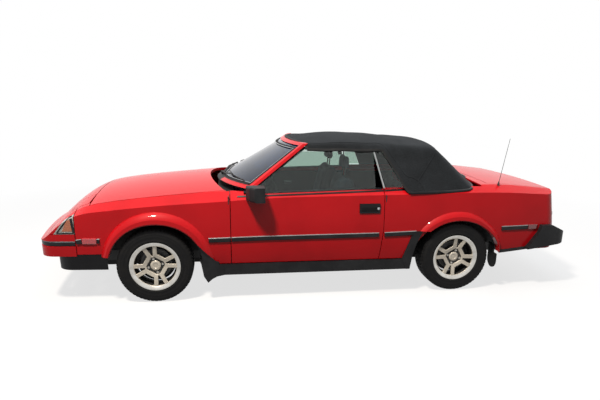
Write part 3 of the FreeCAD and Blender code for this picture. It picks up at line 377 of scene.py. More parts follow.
@dataclass(frozen=True)
class SeatCloth(Finish):
    """Knitted nylon tricot over foam: short pile that lights up at the edges, ribbed."""

    rib_mm: float = 22.0
    light: str = "#263247"

    def dress(self, draft: Draft) -> None:
        """Ribs across the seat and a fine pile.

        Args:
            draft: The material in the making.
        """
        draft.give({"Sheen Weight": 0.2, "Sheen Tint": linear("#8FA0B8")})
        ribs = draft.waves(self.rib_mm, "Y", distortion=0.15)
        pile = draft.noise(6, 3.0, 0.7)
        draft.colours(pile, [(0.3, self.colour), (0.75, self.light)])
        draft.bump(draft.maths("ADD", ribs, pile).outputs["Value"], 0.4, 1.2)


@dataclass(frozen=True)
class Glass(Finish):
    """Float glass, toughened or laminated: clear with a faint green body tint and mirror-sharp gloss."""

    density: float = 1.0
    shine: float = 0.12

    def dress(self, draft: Draft) -> None:
        """Clear transmission, with a trace of dust.

        Args:
            draft: The material in the making.
        """
        draft.give({"Transmission Weight": self.density, "Specular IOR Level": self.shine})
        draft.roughness(draft.noise(90, 4.0, 0.6), {"From Min": 0.35, "From Max": 0.8, "To Min": 0.0,
                                                    "To Max": 0.03})


@dataclass(frozen=True)
class Lens(Finish):
    """Injection-moulded acrylic lens with rows of small prisms on its inside: bright, broken reflections."""

    pitch_mm: float = 9.0
    clear: float = 0.35

    def dress(self, draft: Draft) -> None:
        """Prism rows as bump under a gloss coat.

        Args:
            draft: The material in the making.
        """
        draft.give({"Transmission Weight": self.clear, "Coat Weight": 1.0, "Coat Roughness": 0.03})
        rows = [draft.waves(self.pitch_mm, way, form="TRI") for way in ("Y", "Z")]
        draft.bump(draft.maths("MULTIPLY", *rows).outputs["Value"], 0.5, 1.0)


@dataclass(frozen=True)
class BareMetal(Finish):
    """Metal or metallic paint with casting or drawing marks: even grey with streaked gloss."""

    spot_mm: float = 30.0
    dull: str = "#6D6A66"
    strength: float = 0.1

    def dress(self, draft: Draft) -> None:
        """Stains and a fine uneven surface.

        Args:
            draft: The material in the making.
        """
        stain = draft.noise(self.spot_mm, 4.0, 0.6)
        draft.colours(stain, [(0.4, self.colour), (0.85, self.dull)])
        draft.roughness(stain, {"To Min": self.roughness * 0.8, "To Max": min(1.0, self.roughness * 1.3)})
        draft.bump(draft.noise(5, 2.0), self.strength, 0.3)


# one finish for each material on the car; a few also carry painted shade, highlights or reflection
RED_PAINT = BodyPaint("red_base_coat_under_clear_lacquer", "#BE0A14", roughness=0.45)
BLACK_POLY = Moulding("black_moulded_polypropylene", "#141416", roughness=0.5)
BLACK_STRIP = Moulding("black_extruded_pvc_strip", "#101113", roughness=0.36, grain_mm=6, strength=0.06)
RUBBER = Moulding("black_epdm_rubber", "#0E0E0F", roughness=0.62, grain_mm=5, strength=0.12, worn="#1C1C1D")
TYRE = TyreRubber("tyre_rubber", "#08080A", roughness=0.8)
CLOTH = TopCloth("charcoal_acrylic_twill", "#141618", roughness=0.85)
SEAT = SeatCloth("blue_grey_nylon_tricot", "#131A26", roughness=0.9)
GLASS = Glass("toughened_green_tint_glass", "#BED0C7", roughness=0.0, ior=1.45)
# the windscreen's dark blue colour is a painted sky reflection: it tints the view through the glass, and the
# fifth that is not transmitted shows as blue surface colour
SCREEN_GLASS_PAINTED_SKY = Glass("laminated_screen_glass_painted_sky_blue", "#1C3458", roughness=0.0, ior=1.52, density=0.8, shine=0.25)
RED_LENS = Lens("red_acrylic_lens", "#8A0B10", roughness=0.12)
DARK_LENS = Lens("smoked_red_acrylic_lens", "#2A0608", roughness=0.12, clear=0.1)
AMBER_LENS = Lens("amber_acrylic_lens", "#C8641B", roughness=0.12, pitch_mm=7)
MARKER_LENS = Lens("pink_red_acrylic_lens", "#D8404A", roughness=0.1, pitch_mm=8)
CLEAR_LENS = Lens("clear_acrylic_lens", "#BFC0B8", roughness=0.12, pitch_mm=11, clear=0.5)
# black enamel for chassis parts, and for the door posts as painted shade in the seams
BLACK_ENAMEL_AND_SEAM_SHADE = BareMetal("black_chassis_enamel", "#0E0E0F", roughness=0.5, dull="#1A1816")
UNDERSEAL = BareMetal("black_bitumen_underseal", "#0C0C0C", roughness=0.8, dull="#191715", strength=0.5)
IRON = BareMetal("cast_iron", "#4A4846", roughness=0.6, metallic=1.0, dull="#2B211B", strength=0.4)
EXHAUST = BareMetal("aluminised_steel", "#8D8880", roughness=0.45, metallic=1.0, dull="#5B4A3C")
ALLOY = BareMetal("silver_painted_cast_aluminium", "#CFC7B9", roughness=0.38, metallic=0.3, dull="#B9B1A4",
                  strength=0.05)
MACHINED = BareMetal("diamond_turned_aluminium", "#D2CFC9", roughness=0.22, metallic=1.0, dull="#B5B0A8",
                     strength=0.03)
# near black on the wheel's barrel and on the pocket round its cap is painted shade for the inside of the
# wheel
DARK_FOR_SHADE = BareMetal("cast_aluminium_dark_painted_shade", "#1C1B1A", roughness=0.5, dull="#121110")
# bright metal for locks, handles and bolts, and for the painted highlight line round the windscreen
BRIGHT_METAL_AND_HIGHLIGHT = BareMetal("bright_anodised_aluminium_trim", "#C9CACB", roughness=0.18, metallic=1.0, dull="#A9AAAC",
                   strength=0.02)
DASH_PLASTIC = Moulding("dark_blue_grey_grained_abs", "#0C0F13", roughness=0.6, worn="#13171C")
PIPING = Moulding("blue_grey_vinyl_piping", "#39465A", roughness=0.5, grain_mm=4, strength=0.05,
                  worn="#445267")
PLATE = BareMetal("white_painted_aluminium_plate", "#DADBD8", roughness=0.35, dull="#C9CAC6", strength=0.02)
CARPET = Moulding("loop_pile_carpet", "#12151A", roughness=0.95, grain_mm=5, strength=0.8, worn="#1A1E25")
# satin metal for the window dividers, and for the painted highlight edges along the black strips
SATIN_METAL_AND_HIGHLIGHT = BareMetal("satin_anodised_aluminium_channel", "#8E9294", roughness=0.4, metallic=0.4,
                    dull="#777B7D", strength=0.02)
SILVERED = Finish("silvered_mirror_glass", "#E6E9EA", roughness=0.02, metallic=1.0)

SLOT_FINISH: dict[str, Finish] = {
    "paint": RED_PAINT, "tail_lens": RED_LENS, "clear_lens": CLEAR_LENS, "glass": GLASS,
    "black_plastic": BLACK_POLY, "mirror_shell": BLACK_POLY, "rubber": RUBBER, "top_fabric": CLOTH,
    "dark_steel": BLACK_ENAMEL_AND_SEAM_SHADE, "underbody": UNDERSEAL, "cast_iron": IRON, "exhaust_steel": EXHAUST,
    "interior_plastic": DASH_PLASTIC, "seat_cloth": SEAT, "tyre": TYRE, "alloy": ALLOY,
}


# ---------------------------------------------------------------- mesh tools


def mesh_of(name: str, shape: Shape) -> bpy.types.Mesh:
    """Turn a bmesh into a mesh.

    Args:
        name: The mesh's name.
        shape: The bmesh; freed here.

    Returns:
        The mesh.
    """
    mesh = bpy.data.meshes.new(name)
    shape.to_mesh(mesh)
    shape.free()
    return mesh


def stand(name: str, data: Optional[bpy.types.ID]) -> Item:
    """Put a new object in the scene.

    Args:
        name: The object's name.
        data: Its mesh, camera or lamp.

    Returns:
        The object.
    """
    item = bpy.data.objects.new(name, data)
    bpy.context.scene.collection.objects.link(item)
    return item


def evaluated(item: Item) -> bpy.types.Mesh:
    """An object's mesh with its modifiers applied."""
    return bpy.data.meshes.new_from_object(item.evaluated_get(bpy.context.evaluated_depsgraph_get()))


def metres(profile: Corners) -> list[tuple[float, float]]:
    """A profile in millimetres, in metres."""
    return [(a / 1000, b / 1000) for a, b in profile]


def piece(name: str, shape: Shape, body: str, slot: str, finish: Finish,
          smooth: float = 35.0, replaces: Sequence[str] = ()) -> Item:
    """Turn a bmesh into a finished piece of the car.

    Args:
        name: The piece's name.
        shape: Its geometry in the car's frame; freed here.
        body: The CAD body it rides on.
        slot: The record's material slot; not used.
        finish: What it is made of.
        smooth: Edges sharper than this stay sharp, in degrees.
        replaces: CAD nodes it stands for.

    Returns:
        The new object.
    """
    bmesh.ops.recalc_face_normals(shape, faces=shape.faces[:])
    mesh = mesh_of(name, shape)
    mesh.shade_smooth()
    mesh.set_sharp_from_angle(angle=math.radians(smooth))
    mesh.materials.append(finish.made())
    item = stand(name, mesh)
    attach(item, body)
    if replaces:
        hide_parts(*replaces)
    log.info("%s: %d faces", name, len(mesh.polygons))
    return item


def door_pair(name: str, shape: Shape, slot: str, finish: Finish) -> None:
    """Make a left-hand shape into a piece on each door.

    Args:
        name: The piece's name after the door's.
        shape: The left-hand shape; freed here.
        slot: The record's material slot.
        finish: What it is made of.
    """
    piece("right_door_" + name, mirror_copy(shape), "right_door_body", slot, finish)
    piece("left_door_" + name, shape, "left_door_body", slot, finish)


def skin(shape: Shape, rings: Sequence[Sequence[bmesh.types.BMVert]], closed: bool) -> None:
    """Join neighbouring rings of corners with four-sided faces.

    Args:
        shape: Where the faces go.
        rings: Rings with the same number of corners, in order.
        closed: Whether the last ring joins the first.
    """
    for ring, following in zip(rings, [*rings[1:], rings[0]] if closed else rings[1:]):
        for j, corner in enumerate(ring):
            k = (j + 1) % len(ring)
            shape.faces.new((corner, ring[k], following[k], following[j]))


def sweep(shape: Shape, path: Sequence[Vector], outward: Sequence[Vector],
          profile: Corners, closed: bool = False) -> None:
    """Run a profile along a path.

    Args:
        shape: Where the faces go.
        path: Points of the path.
        outward: The surface's outward direction at each point.
        profile: Across and outward place of each corner, in metres.
        closed: Whether the path closes on itself.
    """
    count = len(path)
    rings = []
    for i, point in enumerate(path):
        before = path[i - 1] if i or closed else path[0]
        after = path[(i + 1) % count] if i < count - 1 or closed else path[-1]
        along = (after - before).normalized()
        out = (outward[i] - along * outward[i].dot(along)).normalized()
        across = along.cross(out)
        rings.append([shape.verts.new(point + across * a + out * b) for a, b in profile])
    skin(shape, rings, closed)
    if not closed:
        shape.faces.new(rings[0])
        shape.faces.new(list(reversed(rings[-1])))


def follow(shape: Shape, found: Sequence[tuple[Vector, Vector]], profile: Corners,
           closed: bool = False) -> None:
    """Run a profile along points with their normals."""
    sweep(shape, [f[0] for f in found], [f[1] for f in found], profile, closed)


def rail(shape: Shape, start: Vector, end: Vector, out: Vector, profile: Corners) -> None:
    """Run a profile along a straight line."""
    sweep(shape, [start, (start + end) / 2, end], [out] * 3, profile)


def turned(shape: Shape, profile: Corners, middle: Vector, axis: Vector,
           steps: int = 96) -> None:
    """Spin a closed profile about an axis.

    Args:
        shape: Where the faces go.
        profile: Place along the axis and radius of each corner.
        middle: A point on the axis.
        axis: The axis direction.
        steps: Number of segments.
    """
    axis = axis.normalized()
    side = axis.orthogonal().normalized()
    other = axis.cross(side)
    rings = []
    for i in range(steps):
        a = 2 * math.pi * i / steps
        ray = side * math.cos(a) + other * math.sin(a)
        rings.append([shape.verts.new(middle + axis * p + ray * r) for p, r in profile])
    skin(shape, rings, True)
    bmesh.ops.remove_doubles(shape, verts=shape.verts[:], dist=1e-6)


def bar(shape: Shape, low: Point, high: Point, round_mm: float = 0.0, segments: int = 2,
        turn: Optional[Matrix] = None) -> None:
    """Add a block between two corners, with rounded edges.

    Args:
        shape: Where the faces go.
        low: Lowest corner.
        high: Highest corner.
        round_mm: Radius of its edges.
        segments: Steps round each edge.
        turn: A matrix applied about the block's middle.
    """
    middle = (Vector(low) + Vector(high)) / 2
    extent = Vector(high) - Vector(low)
    part = bmesh.new()
    bmesh.ops.create_cube(part, size=1.0)
    bmesh.ops.scale(part, vec=extent, verts=part.verts[:])
    if round_mm:
        bmesh.ops.bevel(part, geom=part.edges[:], offset=round_mm / 1000, segments=segments, profile=0.5,
                        affect="EDGES", clamp_overlap=True)
    place = Matrix.Translation(middle) @ (turn.to_4x4() if turn else Matrix.Identity(4))
    bmesh.ops.transform(part, matrix=place, verts=part.verts[:])
    join(shape, part)


def join(shape: Shape, part: Shape) -> None:
    """Add one bmesh to another.

    Args:
        shape: What it is added to.
        part: The bmesh that is added; freed here.
    """
    mesh = mesh_of("joined", part)
    shape.from_mesh(mesh)
    bpy.data.meshes.remove(mesh)


def mirror_copy(shape: Shape) -> Shape:
    """Make the same shape on the other side of the car.

    Args:
        shape: The shape, which stays as it is.

    Returns:
        A new shape.
    """
    other = shape.copy()
    bmesh.ops.scale(other, vec=(1, -1, 1), verts=other.verts[:])
    bmesh.ops.reverse_faces(other, faces=other.faces[:])
    return other


def both_sides(shape: Shape) -> Shape:
    """The shape with its mirror copy added."""
    join(shape, mirror_copy(shape))
    return shape


class Panelwork:
    """Finds points on the outside of CAD nodes, so that trim lies on the real surface."""

    def __init__(self, *nodes: str) -> None:
        """Gather the nodes' faces.

        Args:
            *nodes: CAD node names.
        """
        points: list[Vector] = []
        faces: list[tuple[int, ...]] = []
        for node in nodes:
            mesh = frame["nodes"][node].data
            start = len(points)
            points += [v.co.copy() for v in mesh.vertices]
            faces += [tuple(start + i for i in p.vertices) for p in mesh.polygons]
        self.tree = BVHTree.FromPolygons(points, faces)

    def hit(self, start: Vector, way: Vector) -> Found:
        """Meet the surface with a ray from outside.

        Args:
            start: Where the ray starts.
            way: Its direction.

        Returns:
            The point and its outward normal, or None.
        """
        point, normal, _, _ = self.tree.ray_cast(start, way.normalized())
        if point is None:
            return None
        if normal.dot(way) > 0:
            normal = -normal
        return point, normal

    def side(self, x: float, z: float) -> Found:
        """Left-hand side at one station and height."""
        return self.hit(Vector((x, -1.5, z)), Vector((0, 1, 0)))

    def top(self, x: float, y: float) -> Found:
        """Upper surface at one place."""
        return self.hit(Vector((x, y, 2.0)), Vector((0, 0, -1)))

    def line(self, points: Iterable[tuple[float, float]]) -> tuple[list[Vector], list[Vector]]:
        """Follow a line drawn on the side, with misses left out.

        Args:
            points: Station and height of each point.

        Returns:
            The surface points, and their normals.
        """
        kept = [f for f in (self.side(*p) for p in points) if f]
        return [f[0] for f in kept], [f[1] for f in kept]


def between(a: float, b: float, count: int) -> list[float]:
    """Evenly spaced values from a to b, both ends kept."""
    return [a + (b - a) * i / (count - 1) for i in range(count)]


def cells(rows: int, cols: int) -> list[tuple[int, int, int, int]]:
    """Corner numbers of every cell of a grid whose points are numbered row by row."""
    firsts = [i * cols + j for i in range(rows - 1) for j in range(cols - 1)]
    return [(a, a + 1, a + cols + 1, a + cols) for a in firsts]


# ---------------------------------------------------------------- repeats by Geometry Nodes


def repeat_tree() -> Tree:
    """Tree that sets copies of a mesh along a line, each turned one step further than the last.

    Returns:
        The node group, built once.
    """
    found = bpy.data.node_groups.get("repeat")
    if found:
        return found
    tree = bpy.data.node_groups.new("repeat", "GeometryNodeTree")
    for name, kind in (("Unit", "Geometry"), ("Count", "Int"), ("Start", "Vector"), ("Step", "Vector"),
                       ("Turn", "Vector"), ("Finish", "Material")):
        tree.interface.new_socket(name, in_out="INPUT", socket_type="NodeSocket" + kind)
    tree.interface.new_socket("Result", in_out="OUTPUT", socket_type="NodeSocketGeometry")
    given = add_node(tree, "NodeGroupInput").outputs
    line = add_node(tree, "GeometryNodeMeshLine", {
        "Count": given["Count"], "Start Location": given["Start"], "Offset": given["Step"]}, mode="OFFSET")
    number = add_node(tree, "GeometryNodeInputIndex").outputs["Index"]
    turn = add_node(tree, "ShaderNodeVectorMath", {0: given["Turn"], "Scale": number}, operation="SCALE")
    copies = add_node(tree, "GeometryNodeInstanceOnPoints", {
        "Points": line.outputs["Mesh"], "Instance": given["Unit"], "Rotation": turn.outputs["Vector"]})
    real = add_node(tree, "GeometryNodeRealizeInstances", {"Geometry": copies.outputs["Instances"]})
    dressed = add_node(tree, "GeometryNodeSetMaterial", {
        "Geometry": real.outputs["Geometry"], "Material": given["Finish"]})
    add_node(tree, "NodeGroupOutput", {"Result": dressed.outputs["Geometry"]})
    return tree


def repeated(unit: Shape, count: int, start: Vector, finish: Finish, step: Point = (0, 0, 0),
             turn: Point = (0, 0, 0)) -> Shape:
    """Copies of a unit along a line or round an axis.

    Args:
        unit: The shape about its own origin; freed here.
        count: Number of copies.
        start: Place of the first copy.
        finish: What the copies are made of.
        step: From one copy to the next.
        turn: Further turn of each copy about X, Y and Z, in radians.

    Returns:
        All copies as one shape.
    """
    mesh = mesh_of("unit", unit)
    item = stand("unit", mesh)
    modifier = item.modifiers.new("repeat", "NODES")
    modifier.node_group = repeat_tree()
    named = {s.name: s.identifier for s in modifier.node_group.interface.items_tree if s.in_out == "INPUT"}
    for name, value in (("Count", count), ("Start", tuple(start)), ("Step", step), ("Turn", turn),
                        ("Finish", finish.made())):
        modifier[named[name]] = value
    made = evaluated(item)
    bpy.data.objects.remove(item)
    bpy.data.meshes.remove(mesh)
    shape = bmesh.new()
    shape.from_mesh(made)
    bpy.data.meshes.remove(made)
    for face in shape.faces:
        face.material_index = 0
    return shape


# ---------------------------------------------------------------- wheels


@dataclass
class Wheel:
    """One wheel: cast rim with four pairs of spokes, turned lip, bare cap, nuts, tyre and brake disc.

    Places are in millimetres: outward from the tyre's middle plane, and radius from the axle.
    """

    axle: Axle
    side: Side
    spoke_turn: float
    face_radius: float = 172
    window_radius: float = 164
    wide_window: tuple[float, float, float] = (91, 35, 25)
    narrow_window: tuple[float, float, float] = (84, 5, 9.2)
    hub_corner: float = 72
    dish_radius: tuple[float, ...] = (62, 92, 150, 172)
    dish_height: tuple[float, ...] = (69, 78, 86, 88)
    face_wall: float = 17
    nut_circle: float = 57
    pitches: int = 58

    def __post_init__(self) -> None:
        """Find the wheel's place and names."""
        self.name = f"{self.axle.value}_{self.side.word}"
        self.body = self.name + "_wheel"
        self.middle = centre(self.name + "_tyre")
        self.axis = Vector((0, self.side.value, 0))

    def at(self, out: float, radius: float, degrees: float) -> Vector:
        """Find a place on the wheel.

        Args:
            out: Outward from the tyre's middle plane, in millimetres.
            radius: Distance from the axle.
            degrees: Angle about it.

        Returns:
            The place in the car's frame, in metres.
        """
        a = math.radians(degrees)
        offset = Vector((radius * math.cos(a), self.side.value * out, radius * math.sin(a)))
        return self.middle + offset / 1000

    def ring(self, name: str, profile: Corners, finish: Finish, slot: str,
             replaces: Sequence[str] = (), steps: int = 96) -> Item:
        """A turned piece of the wheel.

        Args:
            name: The piece's name after the wheel's.
            profile: Outward place and radius of each corner, in millimetres.
            finish: What it is made of.
            slot: The record's material slot.
            replaces: CAD nodes it stands for.
            steps: Number of segments.

        Returns:
            The new object.
        """
        shape = bmesh.new()
        turned(shape, metres(profile), self.middle, self.axis, steps)
        return piece(f"{self.name}_{name}", shape, self.body, slot, finish, 32, replaces)

    def window(self, turn: float, near: float, near_half: float, spread: float) -> list[tuple[float, float]]:
        """Outline of one opening between spokes.

        Args:
            turn: Angle of its middle, in degrees.
            near: Distance of its inner edge from the axle.
            near_half: Half the length of that edge.
            spread: Half the angle of its outer arc.

        Returns:
            Radius and angle of each corner.
        """
        corner = (math.hypot(near, near_half), math.degrees(math.atan2(near_half, near)))
        arc = [(self.window_radius, turn + a) for a in between(-spread, spread, 9)]
        return [(corner[0], turn - corner[1]), *arc, (corner[0], turn + corner[1])]

    def spoke_face(self) -> None:
        """The cast face: a dished disc with eight openings and an eight-sided hub opening."""
        shape = bmesh.new()
        loops = [[(self.face_radius, a) for a in between(0, 352.5, 48)]]
        hub = []
        for k in range(4):
            turn = self.spoke_turn + 90 * k
            loops.append(self.window(turn, *self.wide_window))
            loops.append(self.window(turn + 45, *self.narrow_window))
            for a in (-31, 31):
                hub.append((self.hub_corner, turn + 45 + a * 0.35))
        loops.append(hub)
        edges = []
        for loop in loops:
            verts = [shape.verts.new(self.at(np.interp(r, self.dish_radius, self.dish_height), r, a))
                     for r, a in loop]
            edges += [shape.edges.new((verts[i - 1], verts[i])) for i in range(len(verts))]
        made = bmesh.ops.triangle_fill(shape, edges=edges, use_beauty=True, normal=self.axis)
        faces = [g for g in made["geom"] if isinstance(g, bmesh.types.BMFace)]
        back = bmesh.ops.extrude_face_region(shape, geom=faces)
        moved = [g for g in back["geom"] if isinstance(g, bmesh.types.BMVert)]
        bmesh.ops.translate(shape, vec=-self.axis * self.face_wall / 1000, verts=moved)
        item = piece(self.name + "_rim_spokes", shape, self.body, "alloy", ALLOY, 40)
        edge = item.modifiers.new("cast edge", "BEVEL")
        edge.width = 0.0032
        edge.segments = 3
        edge.limit_method = "ANGLE"
        edge.angle_limit = math.radians(50)

    def tread(self) -> Shape:
        """Blocks of one pitch, set round the tyre.

        Returns:
            All blocks as one shape.
        """
        unit = bmesh.new()
        length = math.pi * 296 / self.pitches / 1000
        for y, half, top in ((0, 13, 297.6), (33, 13, 297.2), (68, 15, 295.8), (90, 6, 291.0)):
            for s in ((1, -1) if y else (1,)):
                shift = 0.35 * length * (1 if (y // 33) % 2 else -1) * s
                bar(unit, (shift - length * 0.8, (s * y - half) / 1000, 0.286),
                    (shift + length * 0.8, (s * y + half) / 1000, top / 1000), 1.4, 1)
        return repeated(unit, self.pitches, self.middle, TYRE, turn=(0, 2 * math.pi / self.pitches, 0))

    def tyre(self) -> None:
        """Carcass with moulded rings on its sides, and the tread."""
        half = [(92, 188), (95, 194), (98, 204), (101.3, 209), (102.4, 212), (101.2, 215), (101.3, 240),
                (102.3, 243), (101.3, 246), (100.6, 262), (101, 266), (99.6, 268), (97.5, 280), (93, 288),
                (82, 291.5), (40, 293)]
        profile = half + [(0, 293.5)] + [(-y, r) for y, r in reversed(half)] + [(-70, 184), (70, 184)]
        shape = bmesh.new()
        turned(shape, metres(profile), self.middle, self.axis, 120)
        join(shape, self.tread())
        piece(self.name + "_tyre_rubber", shape, self.body, "tyre", TYRE, 40, (self.name + "_tyre",))

    def hub(self) -> None:
        """Bare centre cap and the nuts round it."""
        # the pocket round the cap is near black: painted shade
        self.ring("hub_pocket", [(34, 0), (34, 94), (60, 94), (64, 90), (58, 66), (55, 60), (54, 0)], DARK_FOR_SHADE,
                  "alloy", steps=64)
        self.ring("centre_cap", [(50, 0), (50, 41), (64, 41), (68, 38), (70, 33), (69.5, 22), (67.5, 20),
                                 (67.5, 0)], ALLOY, "alloy", steps=64)
        unit = bmesh.new()
        out = self.side.value
        for radius, low, high in ((10.5, 50, 66), (8.2, 66, 73)):
            nut = bmesh.new()
            bmesh.ops.create_cone(nut, cap_ends=True, segments=6 if radius > 10 else 16,
                                  radius1=radius / 1000, radius2=(radius if radius > 10 else 4.5) / 1000,
                                  depth=(high - low) / 1000)
            upright = Matrix.Rotation(-out * math.pi / 2, 4, "X")
            place = self.at((low + high) / 2, self.nut_circle, self.spoke_turn + 45) - self.middle
            bmesh.ops.transform(nut, matrix=Matrix.Translation(place) @ upright, verts=nut.verts[:])
            join(unit, nut)
        nuts = repeated(unit, 4, self.middle, MACHINED, turn=(0, math.pi / 2, 0))
        piece(self.name + "_wheel_nuts", nuts, self.body, "alloy", MACHINED, 30)

    def build(self) -> None:
        """Make the whole wheel."""
        self.tyre()
        self.ring("rim_lip", [(86, 165), (91, 171), (97, 181), (101.5, 188.5), (102.4, 193), (101, 196.8),
                              (98, 197), (95.5, 194), (92, 187), (84, 178), (80, 168)], MACHINED, "alloy")
        # the barrel behind the spokes is near black: painted shade
        self.ring("rim_barrel", [(-95, 190), (-97, 196), (-90, 197), (-80, 187), (78, 187), (84, 178),
                                 (84, 166), (60, 158), (20, 152), (-70, 168)], DARK_FOR_SHADE, "alloy",
                  (self.name + "_rim",))
        self.spoke_face()
        self.hub()
        plate = bmesh.new()
        profile = metres(((-34, 0), (-34, 146), (-26, 149), (-26, 140), (-30, 136), (-30, 0)))
        turned(plate, profile, self.middle, self.axis, 72)
        carrier = self.side.word + "_knuckle_body" if self.axle is Axle.FRONT else "root"
        piece(self.name + "_brake_shield", plate, carrier, "dark_steel", BLACK_ENAMEL_AND_SEAM_SHADE)
        self.ring("brake_disc", [(-16, 58), (-16, 122), (6, 122), (6, 74), (40, 70), (40, 60)], IRON,
                  "cast_iron")


# ---------------------------------------------------------------- trim along the sides


STRIP = ((-18, -2), (-18, 5), (-14, 8.5), (14, 8.5), (18, 5), (18, -2))
# the satin bead along the top of each black strip is a painted highlight
STRIP_HIGHLIGHT_EDGE = ((-19.5, -1), (-19.5, 6.5), (-17, 10), (-14, 9.8), (-14, 0))
LENS_STRIP = ((-22, -2), (-22, 6), (-18, 9), (18, 9), (22, 6), (22, -2))
BELT = ((-8, -3), (-8, 4), (-5, 6), (6, 6), (8, 3), (8, -3))
BOTTOM_BAND = ((-14, -2), (-14, 3), (12, 4), (16, 0), (16, -3))


@dataclass
class SideTrim:
    """Strips, belt mouldings and marker lamps that follow the body's sides, drawn left and mirrored."""

    rub_line: Outline = ((418, 504), (827, 512), (1818, 518), (2110, 526), (2858, 548),
                                                 (3244, 553))
    belt_line: Outline = ((600, 838), (880, 848), (2033, 881))
    bottom_line: Outline = ((2902, 340), (3165, 364))
    step_mm: float = 35

    def __post_init__(self) -> None:
        """Gather the panels that the trim lies on."""
        self.panels = Panelwork("front_fenders", "quarter_panels", "left_door", "nose_panel", "front_bumper",
                                "rear_panel")

    def run(self, shape: Shape, start: float, end: float, line: Corners,
            profile: Corners) -> None:
        """Sweep a profile along a line on the left side.

        Args:
            shape: Where the faces go.
            start: First place behind the front axle, in millimetres.
            end: Last place.
            line: Places and heights that the strip follows.
            profile: Its section in millimetres.
        """
        count = max(3, int((end - start) / self.step_mm) + 1)
        points = [(AT.fore(s), float(np.interp(s, [p[0] for p in line], [p[1] for p in line])) / 1000)
                  for s in between(start, end, count)]
        path, out = self.panels.line(points)
        flat = [Vector((n.x * 0.3, n.y, n.z * 0.3)).normalized() for n in out]
        sweep(shape, path, flat, metres(profile))

    def fit(self, name: str, runs: Corners, line: Corners,
            profile: Corners, finish: Finish, slot: str, door: bool = False) -> None:
        """Lay the same trim on both sides, on the body shell or on the doors.

        Args:
            name: The piece's name after "body" or the door's.
            runs: First and last place of each length, in millimetres.
            line: Places and heights that the trim follows.
            profile: Its section in millimetres.
            finish: What it is made of.
            slot: The record's material slot.
            door: Whether it rides on the doors.
        """
        shape = bmesh.new()
        for start, end in runs:
            self.run(shape, start, end, line, profile)
        if door:
            door_pair(name, shape, slot, finish)
        else:
            piece("body_" + name, both_sides(shape), "root", slot, finish)

    def build(self) -> None:
        """Fit every strip."""
        shell = ((422, 593), (1858, 2132), (2898, 3146))
        door = ((602, 1845),)
        for runs, on_door in ((shell, False), (door, True)):
            self.fit("rub_strip", runs, self.rub_line, STRIP, BLACK_STRIP, "black_plastic", on_door)
            # satin edge along the strip's top: painted highlight
            self.fit("rub_strip_highlight_edge", runs, self.rub_line, STRIP_HIGHLIGHT_EDGE, SATIN_METAL_AND_HIGHLIGHT, "alloy", on_door)
        self.fit("belt_moulding", ((655, 1845),), self.belt_line, BELT, BLACK_STRIP, "black_plastic", True)
        self.fit("belt_moulding", ((1858, 2033),), self.belt_line, BELT, BLACK_STRIP, "black_plastic")
        # a black band along the bottom edge of each quarter panel, given the black plastic finish
        self.fit("bottom_band", ((2905, 3162),), self.bottom_line, BOTTOM_BAND, BLACK_POLY, "black_plastic")
        self.fit("rear_markers", ((3152, 3240),), self.rub_line, LENS_STRIP, RED_LENS, "tail_lens")
        marker = ((-580, 506), (-532, 513), (-400, 512))
        stubs = ((-577, -536), (-424, -404))
        self.fit("fender_front_strip", stubs, marker, STRIP, BLACK_STRIP, "black_plastic")
        # satin edge along the strip's top: painted highlight
        self.fit("fender_front_strip_highlight_edge", stubs, marker, STRIP_HIGHLIGHT_EDGE, SATIN_METAL_AND_HIGHLIGHT, "alloy")
        self.fit("front_markers", ((-532, -428),), marker, LENS_STRIP, MARKER_LENS, "tail_lens")


# ---------------------------------------------------------------- lamps, bumper strips and plate


def patch(shape: Shape, corners: Corners,
          project: Projection, proud_mm: float, depth_mm: float,
          steps: tuple[int, int] = (10, 8)) -> None:
    """Add a thin closed slab that follows a surface between four corners.

    Args:
        shape: Where the faces go.
        corners: Four places in the projection's own two coordinates, in order round the patch.
        project: Finds the surface point and normal at one place.
        proud_mm: How far the slab stands over the surface.
        depth_mm: How far it reaches into it.
        steps: Cells along and across.
    """
    along, across = steps
    a, b, c, d = (np.array(p) for p in corners)
    layers: list[list[list[bmesh.types.BMVert]]] = [[], []]
    middle = (a + b + c + d) / 4
    found = project(float(middle[0]), float(middle[1]))
    if found is None:
        log.warning("a patch misses its surface")
        return
    for i in range(across + 1):
        row: list[list[bmesh.types.BMVert]] = [[], []]
        for j in range(along + 1):
            u, v = j / along, i / across
            place = (a * (1 - u) + b * u) * (1 - v) + (d * (1 - u) + c * u) * v
            found = project(float(place[0]), float(place[1])) or found
            point, normal = found
            row[0].append(shape.verts.new(point + normal * proud_mm / 1000))
            row[1].append(shape.verts.new(point - normal * depth_mm / 1000))
        layers[0].append(row[0])
        layers[1].append(row[1])
    for layer in layers:
        for i in range(across):
            for j in range(along):
                shape.faces.new((layer[i][j], layer[i][j + 1], layer[i + 1][j + 1], layer[i + 1][j]))
    rim = [(0, j) for j in range(along)] + [(i, along) for i in range(across)]
    rim += [(across, j) for j in range(along, 0, -1)] + [(i, 0) for i in range(across, 0, -1)]
    for (i, j), (k, m) in zip(rim, rim[1:] + rim[:1]):
        shape.faces.new((layers[0][i][j], layers[0][k][m], layers[1][k][m], layers[1][i][j]))


